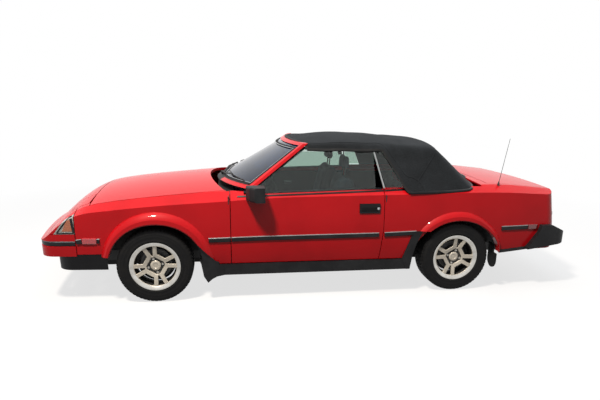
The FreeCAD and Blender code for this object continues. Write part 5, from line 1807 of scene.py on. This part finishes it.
@dataclass
class SoftTop:
    """The fabric top as one continuous curved sheet over its bows, with its seams, window and edge trim."""

    sections: tuple[TopSection, ...] = (
        TopSection(1085, 1240, 520, 1222, 588, 1192, 776, 904),
        TopSection(1228, 1262, 520, 1238, 590, 1205, 780, 900),
        TopSection(1400, 1286, 520, 1246, 592, 1206, 786, 896),
        TopSection(1640, 1297, 520, 1252, 594, 1204, 792, 892),
        TopSection(1900, 1282, 515, 1242, 594, 1192, 794, 888),
        TopSection(2250, 1256, 500, 1218, 590, 1165, 794, 880),
        TopSection(2550, 1238, 480, 1205, 575, 1150, 790, 874),
        TopSection(2900, 1215, 470, 1180, 560, 1130, 780, 868),
    )
    header: float = 1234
    header_bow: float = 100
    header_half: float = 560
    pivot: float = 2064
    pivot_z: float = 862
    back_levels: tuple[tuple[float, float, float, float], ...] = ((830, 2850, 2750, 640),
                                                                  (1300, 2320, 2260, 500))
    opening: Outline = ((1000, 1187), (1240, 1195), (1873, 1189), (2041, 884), (2064, 862))
    corner_mm: float = 18
    sag_mm: float = 5
    bows: tuple[float, ...] = (1234, 1515, 1875, 2245)
    cloth_mm: float = 3
    window_half: float = 0.405
    window_low: float = 0.965
    window_high: float = 1.138
    across: int = 96
    roof_rows: int = 44
    fan_rows: int = 40
    grid: np.ndarray = field(default=None, repr=False)
    normals: np.ndarray = field(default=None, repr=False)

    def outline(self, station: float, low_z: float, count: int) -> np.ndarray:
        """Left half of the section from a height on the side up to the crown.

        Args:
            station: Place behind the front axle, in millimetres.
            low_z: Height at which it starts.
            count: Number of points.

        Returns:
            Half width and height of each point, in millimetres.
        """
        stations = [s.station for s in self.sections]

        def at(name: str) -> float:
            """One size of the section here."""
            return float(np.interp(station, stations, [getattr(s, name) for s in self.sections]))

        belt, line = (at("belt_half"), at("belt_z")), (at("line_half"), at("line_z"))
        edge, crown = (at("edge_half"), at("edge_z")), at("crown")
        points = [belt]
        if low_z < line[1]:
            part = (low_z - belt[1]) / (line[1] - belt[1])
            points = [(belt[0] + (line[0] - belt[0]) * part, low_z), line]
        else:
            points = [(line[0], low_z)]
        bulge = ((line[0] + edge[0]) / 2 + 12, (line[1] + edge[1]) / 2 + 14)
        for t in between(0.15, 1.0, 7):
            a, b = (1 - t) ** 2, 2 * t * (1 - t)
            top = (edge[0] * 2 + bulge[0]) / 3, (edge[1] * 2 + bulge[1]) / 3
            points.append((a * line[0] + b * bulge[0] * 1.01 + t * t * top[0],
                           a * line[1] + b * bulge[1] * 1.004 + t * t * top[1]))
        for y in between(edge[0] * 0.97, 0.0, 14):
            points.append((y, crown - (crown - edge[1]) * (y / edge[0]) ** 2))
        shape = np.array([p for i, p in enumerate(points) if i == 0 or p[1] >= low_z - 1])
        run = np.concatenate([[0], np.cumsum(np.linalg.norm(np.diff(shape, axis=0), axis=1))])
        wanted = np.linspace(0, run[-1], count)
        return np.stack([np.interp(wanted, run, shape[:, 0]), np.interp(wanted, run, shape[:, 1])], axis=1)

    def forms(self) -> tuple[BVHTree, BVHTree]:
        """Make the whole roof form and the sloping back.

        Returns:
            Both, as surfaces that rays can meet.
        """
        stations = between(self.pivot - 200, self.sections[-1].station, 24)
        half = 28
        verts = []
        for s in stations:
            left = self.outline(s, 700, half)
            row = [(AT.fore(s), -y / 1000, z / 1000) for y, z in left]
            verts += row + [(x, -y, z) for x, y, z in reversed(row[:-1])]
        wide = 2 * half - 1
        roof = BVHTree.FromPolygons([Vector(v) for v in verts], cells(len(stations), wide))
        (z0, c0, s0, h0), (z1, c1, s1, h1) = self.back_levels
        verts = []
        rows, cols = 16, 41
        for i in range(rows):
            part = i / (rows - 1) * 1.35 - 0.15
            z, mid = z0 + (z1 - z0) * part, c0 + (c1 - c0) * part
            side, half_y = s0 + (s1 - s0) * part, h0 + (h1 - h0) * part
            for y in between(-1100, 1100, cols):
                inside = abs(y) <= half_y
                x = mid - (mid - side) * (y / half_y) ** 2 if inside else side - 260 * (abs(y) - half_y) / (
                    1100 - half_y)
                verts.append(Vector((AT.fore(x), y / 1000, z / 1000)))
        return roof, BVHTree.FromPolygons(verts, cells(rows, cols))

    def upright_rows(self) -> list[list[Point]]:
        """Rows of points over the doors, one for each upright section.

        Returns:
            The rows, from the header to the pivot.
        """
        half = self.across // 2 + 1
        rows = []
        for s in between(self.header, self.pivot, self.roof_rows):
            low = float(np.interp(s, [p[0] for p in self.opening], [p[1] for p in self.opening]))
            left = self.outline(s, low, half)
            fade = max(0.0, 1 - (s - self.header) / 300) ** 1.5
            ahead = self.header_bow * fade * np.clip(1 - (left[:, 0] / self.header_half) ** 2, 0, 1)
            if fade > 0:
                left = np.array([self.outline(s - shift, low, half)[j] for j, shift in enumerate(ahead)])
            left[:, 1] -= self.sag(s) * np.clip((left[:, 1] - 1150) / 60, 0, 1)
            row = [(AT.fore(s - shift), -y / 1000, z / 1000) for (y, z), shift in zip(left, ahead)]
            rows.append(row + [(x, -y, z) for x, y, z in reversed(row[:-1])])
        return rows

    def fan(self, last: Sequence[Point]) -> list[list[Point]]:
        """Rows of points that fan down the back from the pivot.

        Args:
            last: The last upright row.

        Returns:
            The rows, ending on the deck.
        """
        deck = Panelwork("quarter_panels", "trunk_lid")
        surfaces = self.forms()
        pivot = Vector((AT.fore(self.pivot), 0, self.pivot_z / 1000))
        rows = []
        turns = [math.atan2(p[2] - pivot.z, -p[1]) for p in last]
        soft = self.corner_mm / 1000
        for i in range(1, self.fan_rows + 1):
            part = i / self.fan_rows
            row = []
            for j, turn in enumerate(turns):
                lowest = math.radians(0.2 + 4.4 * math.sin(turn) ** 2)
                lean = math.pi / 2 + (lowest - math.pi / 2) * part ** 0.9
                way = Vector((math.cos(lean) * math.sin(turn), -math.cos(turn),
                              math.sin(lean) * math.sin(turn)))
                reach = []
                for surface in surfaces:
                    point = surface.ray_cast(pivot, way)[0]
                    reach.append((point - pivot).length if point else 9.0)
                near = -soft * math.log(sum(math.exp(-r / soft) for r in reach))
                point = pivot + way * near
                under = deck.top(point.x, point.y)
                if under and point.z < under[0].z + 0.003:
                    point.z = under[0].z + 0.003
                row.append(tuple(point))
            rows.append(row)
        return rows

    def shape_grid(self) -> None:
        """Fill the grid: upright sections over the doors, then the fan down the back, smoothed."""
        rows = self.upright_rows()
        grid = np.array(rows + self.fan(rows[-1]))
        for _ in range(3):
            inner = grid.copy()
            inner[1:-1, 1:-1] = (grid[1:-1, 1:-1] * 2 + grid[:-2, 1:-1] + grid[2:, 1:-1]
                                 + grid[1:-1, :-2] + grid[1:-1, 2:]) / 6
            grid = inner
        self.grid = grid
        down = np.gradient(grid, axis=0)
        over = np.gradient(grid, axis=1)
        normal = np.cross(over, down)
        normal /= np.maximum(np.linalg.norm(normal, axis=2, keepdims=True), 1e-9)
        middle = np.array([AT.fore(1700), 0, 0.8])
        normal[np.einsum("ijk,ijk->ij", normal, grid - middle) < 0] *= -1
        self.normals = normal

    def sag(self, station: float) -> float:
        """Find how far the cloth hangs between two bows.

        Args:
            station: Place behind the front axle, in millimetres.

        Returns:
            The sag, in millimetres.
        """
        for a, b in zip(self.bows, self.bows[1:]):
            if a <= station <= b:
                return self.sag_mm * math.sin(math.pi * (station - a) / (b - a)) ** 2
        return 0.0

    def in_window(self, point: np.ndarray, grow: float = 0.0) -> bool:
        """Whether a point of the back lies in the rear window's opening.

        Args:
            point: The point.
            grow: How much wider the opening is taken, in metres.

        Returns:
            True inside it.
        """
        if point[0] < AT.fore(2350):
            return False
        radius = 0.05
        low, high = self.window_low - grow, self.window_high + grow
        y = max(abs(point[1]) - (self.window_half + grow - radius), 0)
        z = max(abs(point[2] - (low + high) / 2) - ((high - low) / 2 - radius), 0)
        return math.hypot(y, z) < radius

    def cloth(self) -> None:
        """The sheet itself."""
        shape = bmesh.new()
        rows, cols = self.grid.shape[:2]
        verts = [[shape.verts.new(self.grid[i, j]) for j in range(cols)] for i in range(rows)]
        for i in range(rows - 1):
            for j in range(cols - 1):
                middle = (self.grid[i, j] + self.grid[i + 1, j + 1]) / 2
                if self.in_window(middle):
                    continue
                shape.faces.new((verts[i][j], verts[i][j + 1], verts[i + 1][j + 1], verts[i + 1][j]))
        bmesh.ops.remove_doubles(shape, verts=shape.verts[:], dist=0.0004)
        loose = [v for v in shape.verts if not v.link_faces]
        bmesh.ops.delete(shape, geom=loose, context="VERTS")
        area = sum(f.calc_area() for f in shape.faces)
        item = piece("top_cloth", shape, "root", "top_fabric", CLOTH, 70, ("soft_top",))
        wall = item.modifiers.new("cloth", "SOLIDIFY")
        wall.thickness = self.cloth_mm / 1000
        wall.offset = -1
        width = float(np.linalg.norm(np.diff(self.grid[self.roof_rows // 2], axis=0), axis=1).sum())
        length = float(np.linalg.norm(np.diff(self.grid[:, cols // 2], axis=0), axis=1).sum())
        log.info("cloth area %.3f, width %.3f, length %.3f", area, width, length)

    def welt(self, shape: Shape, points: np.ndarray, normals: np.ndarray, width: float = 0.012,
             proud: float = 0.003, closed: bool = False) -> None:
        """A sewn welt along grid points.

        Args:
            shape: Where the faces go.
            points: Points on the cloth.
            normals: Outward directions there.
            width: Width of the welt.
            proud: Its height over the cloth.
            closed: Whether it is a ring.
        """
        half = width / 2
        profile = [(-half, -0.002), (-half, proud * 0.5), (-half * 0.5, proud), (half * 0.5, proud),
                   (half, proud * 0.5), (half, -0.002)]
        sweep(shape, [Vector(p) for p in points], [Vector(n) for n in normals], profile, closed)

    def build(self) -> None:
        """Make the sheet and everything sewn or fastened to it."""
        self.shape_grid()
        self.cloth()
        cols = self.grid.shape[1]
        seams = bmesh.new()
        column = next(j for j in range(cols) if abs(self.grid[4, j, 1]) < 0.535)
        for j in (column, cols - 1 - column):
            self.welt(seams, self.grid[:, j], self.normals[:, j])
        corner = max(range(self.roof_rows, len(self.grid)), key=lambda i: self.grid[i, cols // 2, 0] * 0.55
                     + self.grid[i, cols // 2, 2])
        self.welt(seams, self.grid[corner, column:cols - column], self.normals[corner, column:cols - column])
        piece("top_seams", seams, "root", "top_fabric", CLOTH, 60)
        self.edges()
        self.window_frame()

    def edges(self) -> None:
        """Rubber round the side openings, the header trim and the bottom moulding."""
        rubber = bmesh.new()
        lip = metres(((-10, -8), (-10, 4), (0, 5.5), (12, 3), (12, -8)))
        opening = self.grid[:self.roof_rows, 0], self.normals[:self.roof_rows, 0]
        for side in Side:
            flip = np.array([1, 1 if side is Side.LEFT else -1, 1])
            sweep(rubber, [Vector(p * flip) for p in opening[0]], [Vector(n * flip) for n in opening[1]], lip)
        sweep(rubber, [Vector(p) for p in self.grid[0]], [Vector(n) for n in self.normals[0]],
              metres(((-16, -8), (-16, 3), (0, 4.5), (12, 3), (12, -8))))
        piece("top_weatherstrip", rubber, "root", "rubber", RUBBER)
        trim = bmesh.new()
        foot, up = self.grid[-1], self.normals[-1]
        keep = [j for j in range(len(foot)) if j % 2 == 0]
        path = [Vector(foot[j]) for j in keep]
        out = [(Vector(up[j]) * 0.6 + Vector((0, 0, 0.8))).normalized() for j in keep]
        sweep(trim, path, out, metres(((-12, -6), (-13, 4), (-8, 9), (4, 10), (11, 5), (12, -6))))
        piece("top_bottom_moulding", trim, "root", "black_plastic", BLACK_STRIP)

    def window_frame(self) -> None:
        """Binding sewn round the rear window."""
        back = self.forms()[1]
        ring, out = [], []
        low, high, radius = self.window_low, self.window_high, 0.05
        for cy, cz, start in ((1, 1, 0), (-1, 1, 90), (-1, -1, 180), (1, -1, 270)):
            for a in between(start, start + 90, 7):
                y = cy * (self.window_half - radius) + radius * math.cos(math.radians(a))
                z = (low + high) / 2 + cz * ((high - low) / 2 - radius) + radius * math.sin(math.radians(a))
                point, normal, _, _ = back.ray_cast(Vector((AT.fore(3200), y, z)), Vector((-1, 0, 0)))
                ring.append(point)
                out.append(normal if normal.x > 0 else -normal)
        frame_shape = bmesh.new()
        dense, dense_out = [], []
        for i, point in enumerate(ring):
            following = ring[(i + 1) % len(ring)]
            steps = max(1, int((following - point).length / 0.03))
            for k in range(steps):
                dense.append(point.lerp(following, k / steps))
                dense_out.append(out[i].lerp(out[(i + 1) % len(ring)], k / steps))
        shifted = [p - Vector((0.004, 0, 0)) for p in dense]
        profile = metres(((-16, -10), (-18, 3), (-12, 7), (10, 7), (20, 3), (20, -10)))
        sweep(frame_shape, shifted, dense_out, profile, closed=True)
        piece("rear_window_binding", frame_shape, "root", "top_fabric", RUBBER, 50)


# ---------------------------------------------------------------- studio


@dataclass
class Studio:
    """Pale floor, soft lamps and the camera."""

    lens_mm: float = 31.456
    eye: Point = (-0.742648, -4.896084, 1.627970)
    yaw: float = 0.15681
    pitch: float = -0.27484
    roll: float = 0.01736
    shift: tuple[float, float] = (-0.01644, 0.0705)
    floor_size: float = 60.0

    def camera(self) -> None:
        """Place the camera."""
        ahead = Vector((math.sin(self.yaw) * math.cos(self.pitch), math.cos(self.yaw) * math.cos(self.pitch),
                        math.sin(self.pitch)))
        right = ahead.cross(Vector((0, 0, 1))).normalized()
        up = right.cross(ahead)
        r2 = right * math.cos(self.roll) + up * math.sin(self.roll)
        u2 = up * math.cos(self.roll) - right * math.sin(self.roll)
        data = bpy.data.cameras.new("camera")
        data.sensor_width = 36
        data.lens = self.lens_mm
        data.shift_x, data.shift_y = self.shift
        data.clip_end = 200
        item = stand("camera", data)
        turn = Matrix((r2, u2, -ahead)).transposed()
        item.matrix_world = Matrix.Translation(Vector(self.eye)) @ turn.to_4x4()
        bpy.context.scene.camera = item

    def lamp(self, name: str, place: Point, target: Point, size: tuple[float, float], watts: float,
             colour: str = "#FFFFFF", seen_in_gloss: bool = True) -> None:
        """One rectangular lamp aimed at a point.

        Args:
            name: The lamp's name.
            place: Where it stands.
            target: What it is aimed at.
            size: Its two sides.
            watts: Its power.
            colour: Hex colour of its light.
            seen_in_gloss: Whether gloss mirrors it.
        """
        data = bpy.data.lights.new(name, "AREA")
        data.shape = "RECTANGLE"
        data.size, data.size_y = size
        data.energy = watts
        data.color = linear(colour)[:3]
        item = stand(name, data)
        turn = (Vector(target) - Vector(place)).to_track_quat("-Z", "Y").to_matrix()
        item.matrix_world = Matrix.Translation(Vector(place)) @ turn.to_4x4()
        item.visible_glossy = seen_in_gloss

    def lamps(self) -> None:
        """A high key from the front left, a broad top light and a weak fill."""
        self.lamp("key", (-2.6, -3.4, 7.4), (0, -0.3, 0.5), (0.9, 0.9), 800, "#FFF6EA")
        self.lamp("overhead", (0.3, 0.2, 5.2), (0, 0, 0.5), (6.0, 3.4), 150, "#F4F8FF", False)
        self.lamp("rear_fill", (5.2, 3.0, 3.4), (0.6, 0, 0.7), (3.0, 2.4), 70, "#FFFFFF", False)

    def looks(self, tree: Tree) -> tuple[Node, Socket]:
        """Add the nodes that tell a look at the scene from light that falls on it.

        Args:
            tree: The node tree.

        Returns:
            The light-path node, and 1 where the camera, gloss or glass looks.
        """
        rays = add_node(tree, "ShaderNodeLightPath")
        seen = rays.outputs["Is Camera Ray"]
        for name in ("Is Transmission Ray", "Is Glossy Ray"):
            seen = add_node(tree, "ShaderNodeMath", {0: seen, 1: rays.outputs[name]},
                            operation="MAXIMUM").outputs["Value"]
        return rays, seen

    def world(self) -> None:
        """Even light from all round; plain white where the camera, gloss or glass looks at it."""
        world = bpy.data.worlds.new("studio_air")
        bpy.context.scene.world = world
        world.use_nodes = True
        tree = world.node_tree
        tree.nodes.clear()
        light = add_node(tree, "ShaderNodeBackground", {"Color": linear("#F2F5FA"), "Strength": 0.2})
        shown = add_node(tree, "ShaderNodeBackground", {"Color": (1, 1, 1, 1), "Strength": 1.0})
        seen = self.looks(tree)[1]
        mixed = add_node(tree, "ShaderNodeMixShader", {0: seen, 1: light.outputs[0], 2: shown.outputs[0]})
        add_node(tree, "ShaderNodeOutputWorld", {"Surface": mixed.outputs[0]})

    def floor(self) -> None:
        """A pale floor that fades to white far from the car."""
        shape = bmesh.new()
        bmesh.ops.create_grid(shape, x_segments=2, y_segments=2, size=self.floor_size)
        item = stand("floor", mesh_of("floor", shape))
        material = bpy.data.materials.new("matt_white_studio_floor")
        material.use_nodes = True
        tree = material.node_tree
        tree.nodes.clear()
        white = add_node(tree, "ShaderNodeEmission", {"Color": (1, 1, 1, 1), "Strength": 1.0})
        rays, seen = self.looks(tree)
        shade = ramp(tree, rays.outputs["Is Camera Ray"], [(0.0, "#565654"), (1.0, "#EDEDED")])
        matt = add_node(tree, "ShaderNodeBsdfDiffuse", {"Color": shade})
        place = add_node(tree, "ShaderNodeTexCoord").outputs["Object"]
        far = add_node(tree, "ShaderNodeVectorMath", {0: place}, operation="LENGTH")
        fade = add_node(tree, "ShaderNodeMapRange", {"Value": far.outputs["Value"], "From Min": 2.0,
                                                     "From Max": 6.0, "To Min": 0.72, "To Max": 1.0})
        share = add_node(tree, "ShaderNodeMath", {0: seen, 1: fade.outputs["Result"]}, operation="MULTIPLY")
        mixed = add_node(tree, "ShaderNodeMixShader", {0: share.outputs["Value"], 1: matt.outputs[0],
                                                       2: white.outputs[0]})
        add_node(tree, "ShaderNodeOutputMaterial", {"Surface": mixed.outputs[0]})
        item.data.materials.append(material)

    def build(self) -> None:
        """Make the whole studio."""
        bpy.context.scene.view_settings.view_transform = "Standard"
        self.world()
        self.floor()
        self.lamps()
        self.camera()


def dress_frame() -> None:
    """Give every CAD node the finish of its material slot."""
    slots = {part["node"]: part["material_slot"] for part in frame["record"]["subparts"]}
    for name, item in frame["nodes"].items():
        finish = SLOT_FINISH[slots[name]]
        for holder in item.material_slots:
            # the windscreen gets the glass whose dark blue is a painted sky reflection
            holder.material = (SCREEN_GLASS_PAINTED_SKY if name == "windscreen" else finish).made()


def main() -> None:
    """Build the car's looks piece by piece."""
    logging.basicConfig(level=logging.INFO, format="%(message)s")
    dress_frame()
    for axle, side, turn in ((Axle.FRONT, Side.LEFT, 59), (Axle.REAR, Side.LEFT, 30),
                             (Axle.FRONT, Side.RIGHT, 20), (Axle.REAR, Side.RIGHT, 75)):
        Wheel(axle, side, turn).build()
    for part in (SideTrim(), FrontEnd(), RearEnd(), ScreenTrim(), DoorFittings(), Seats(), CabinTrim(),
                 SoftTop()):
        log.info("== %s", type(part).__name__)
        part.build()
    Studio().build()


if __name__ == "__main__":
    main()
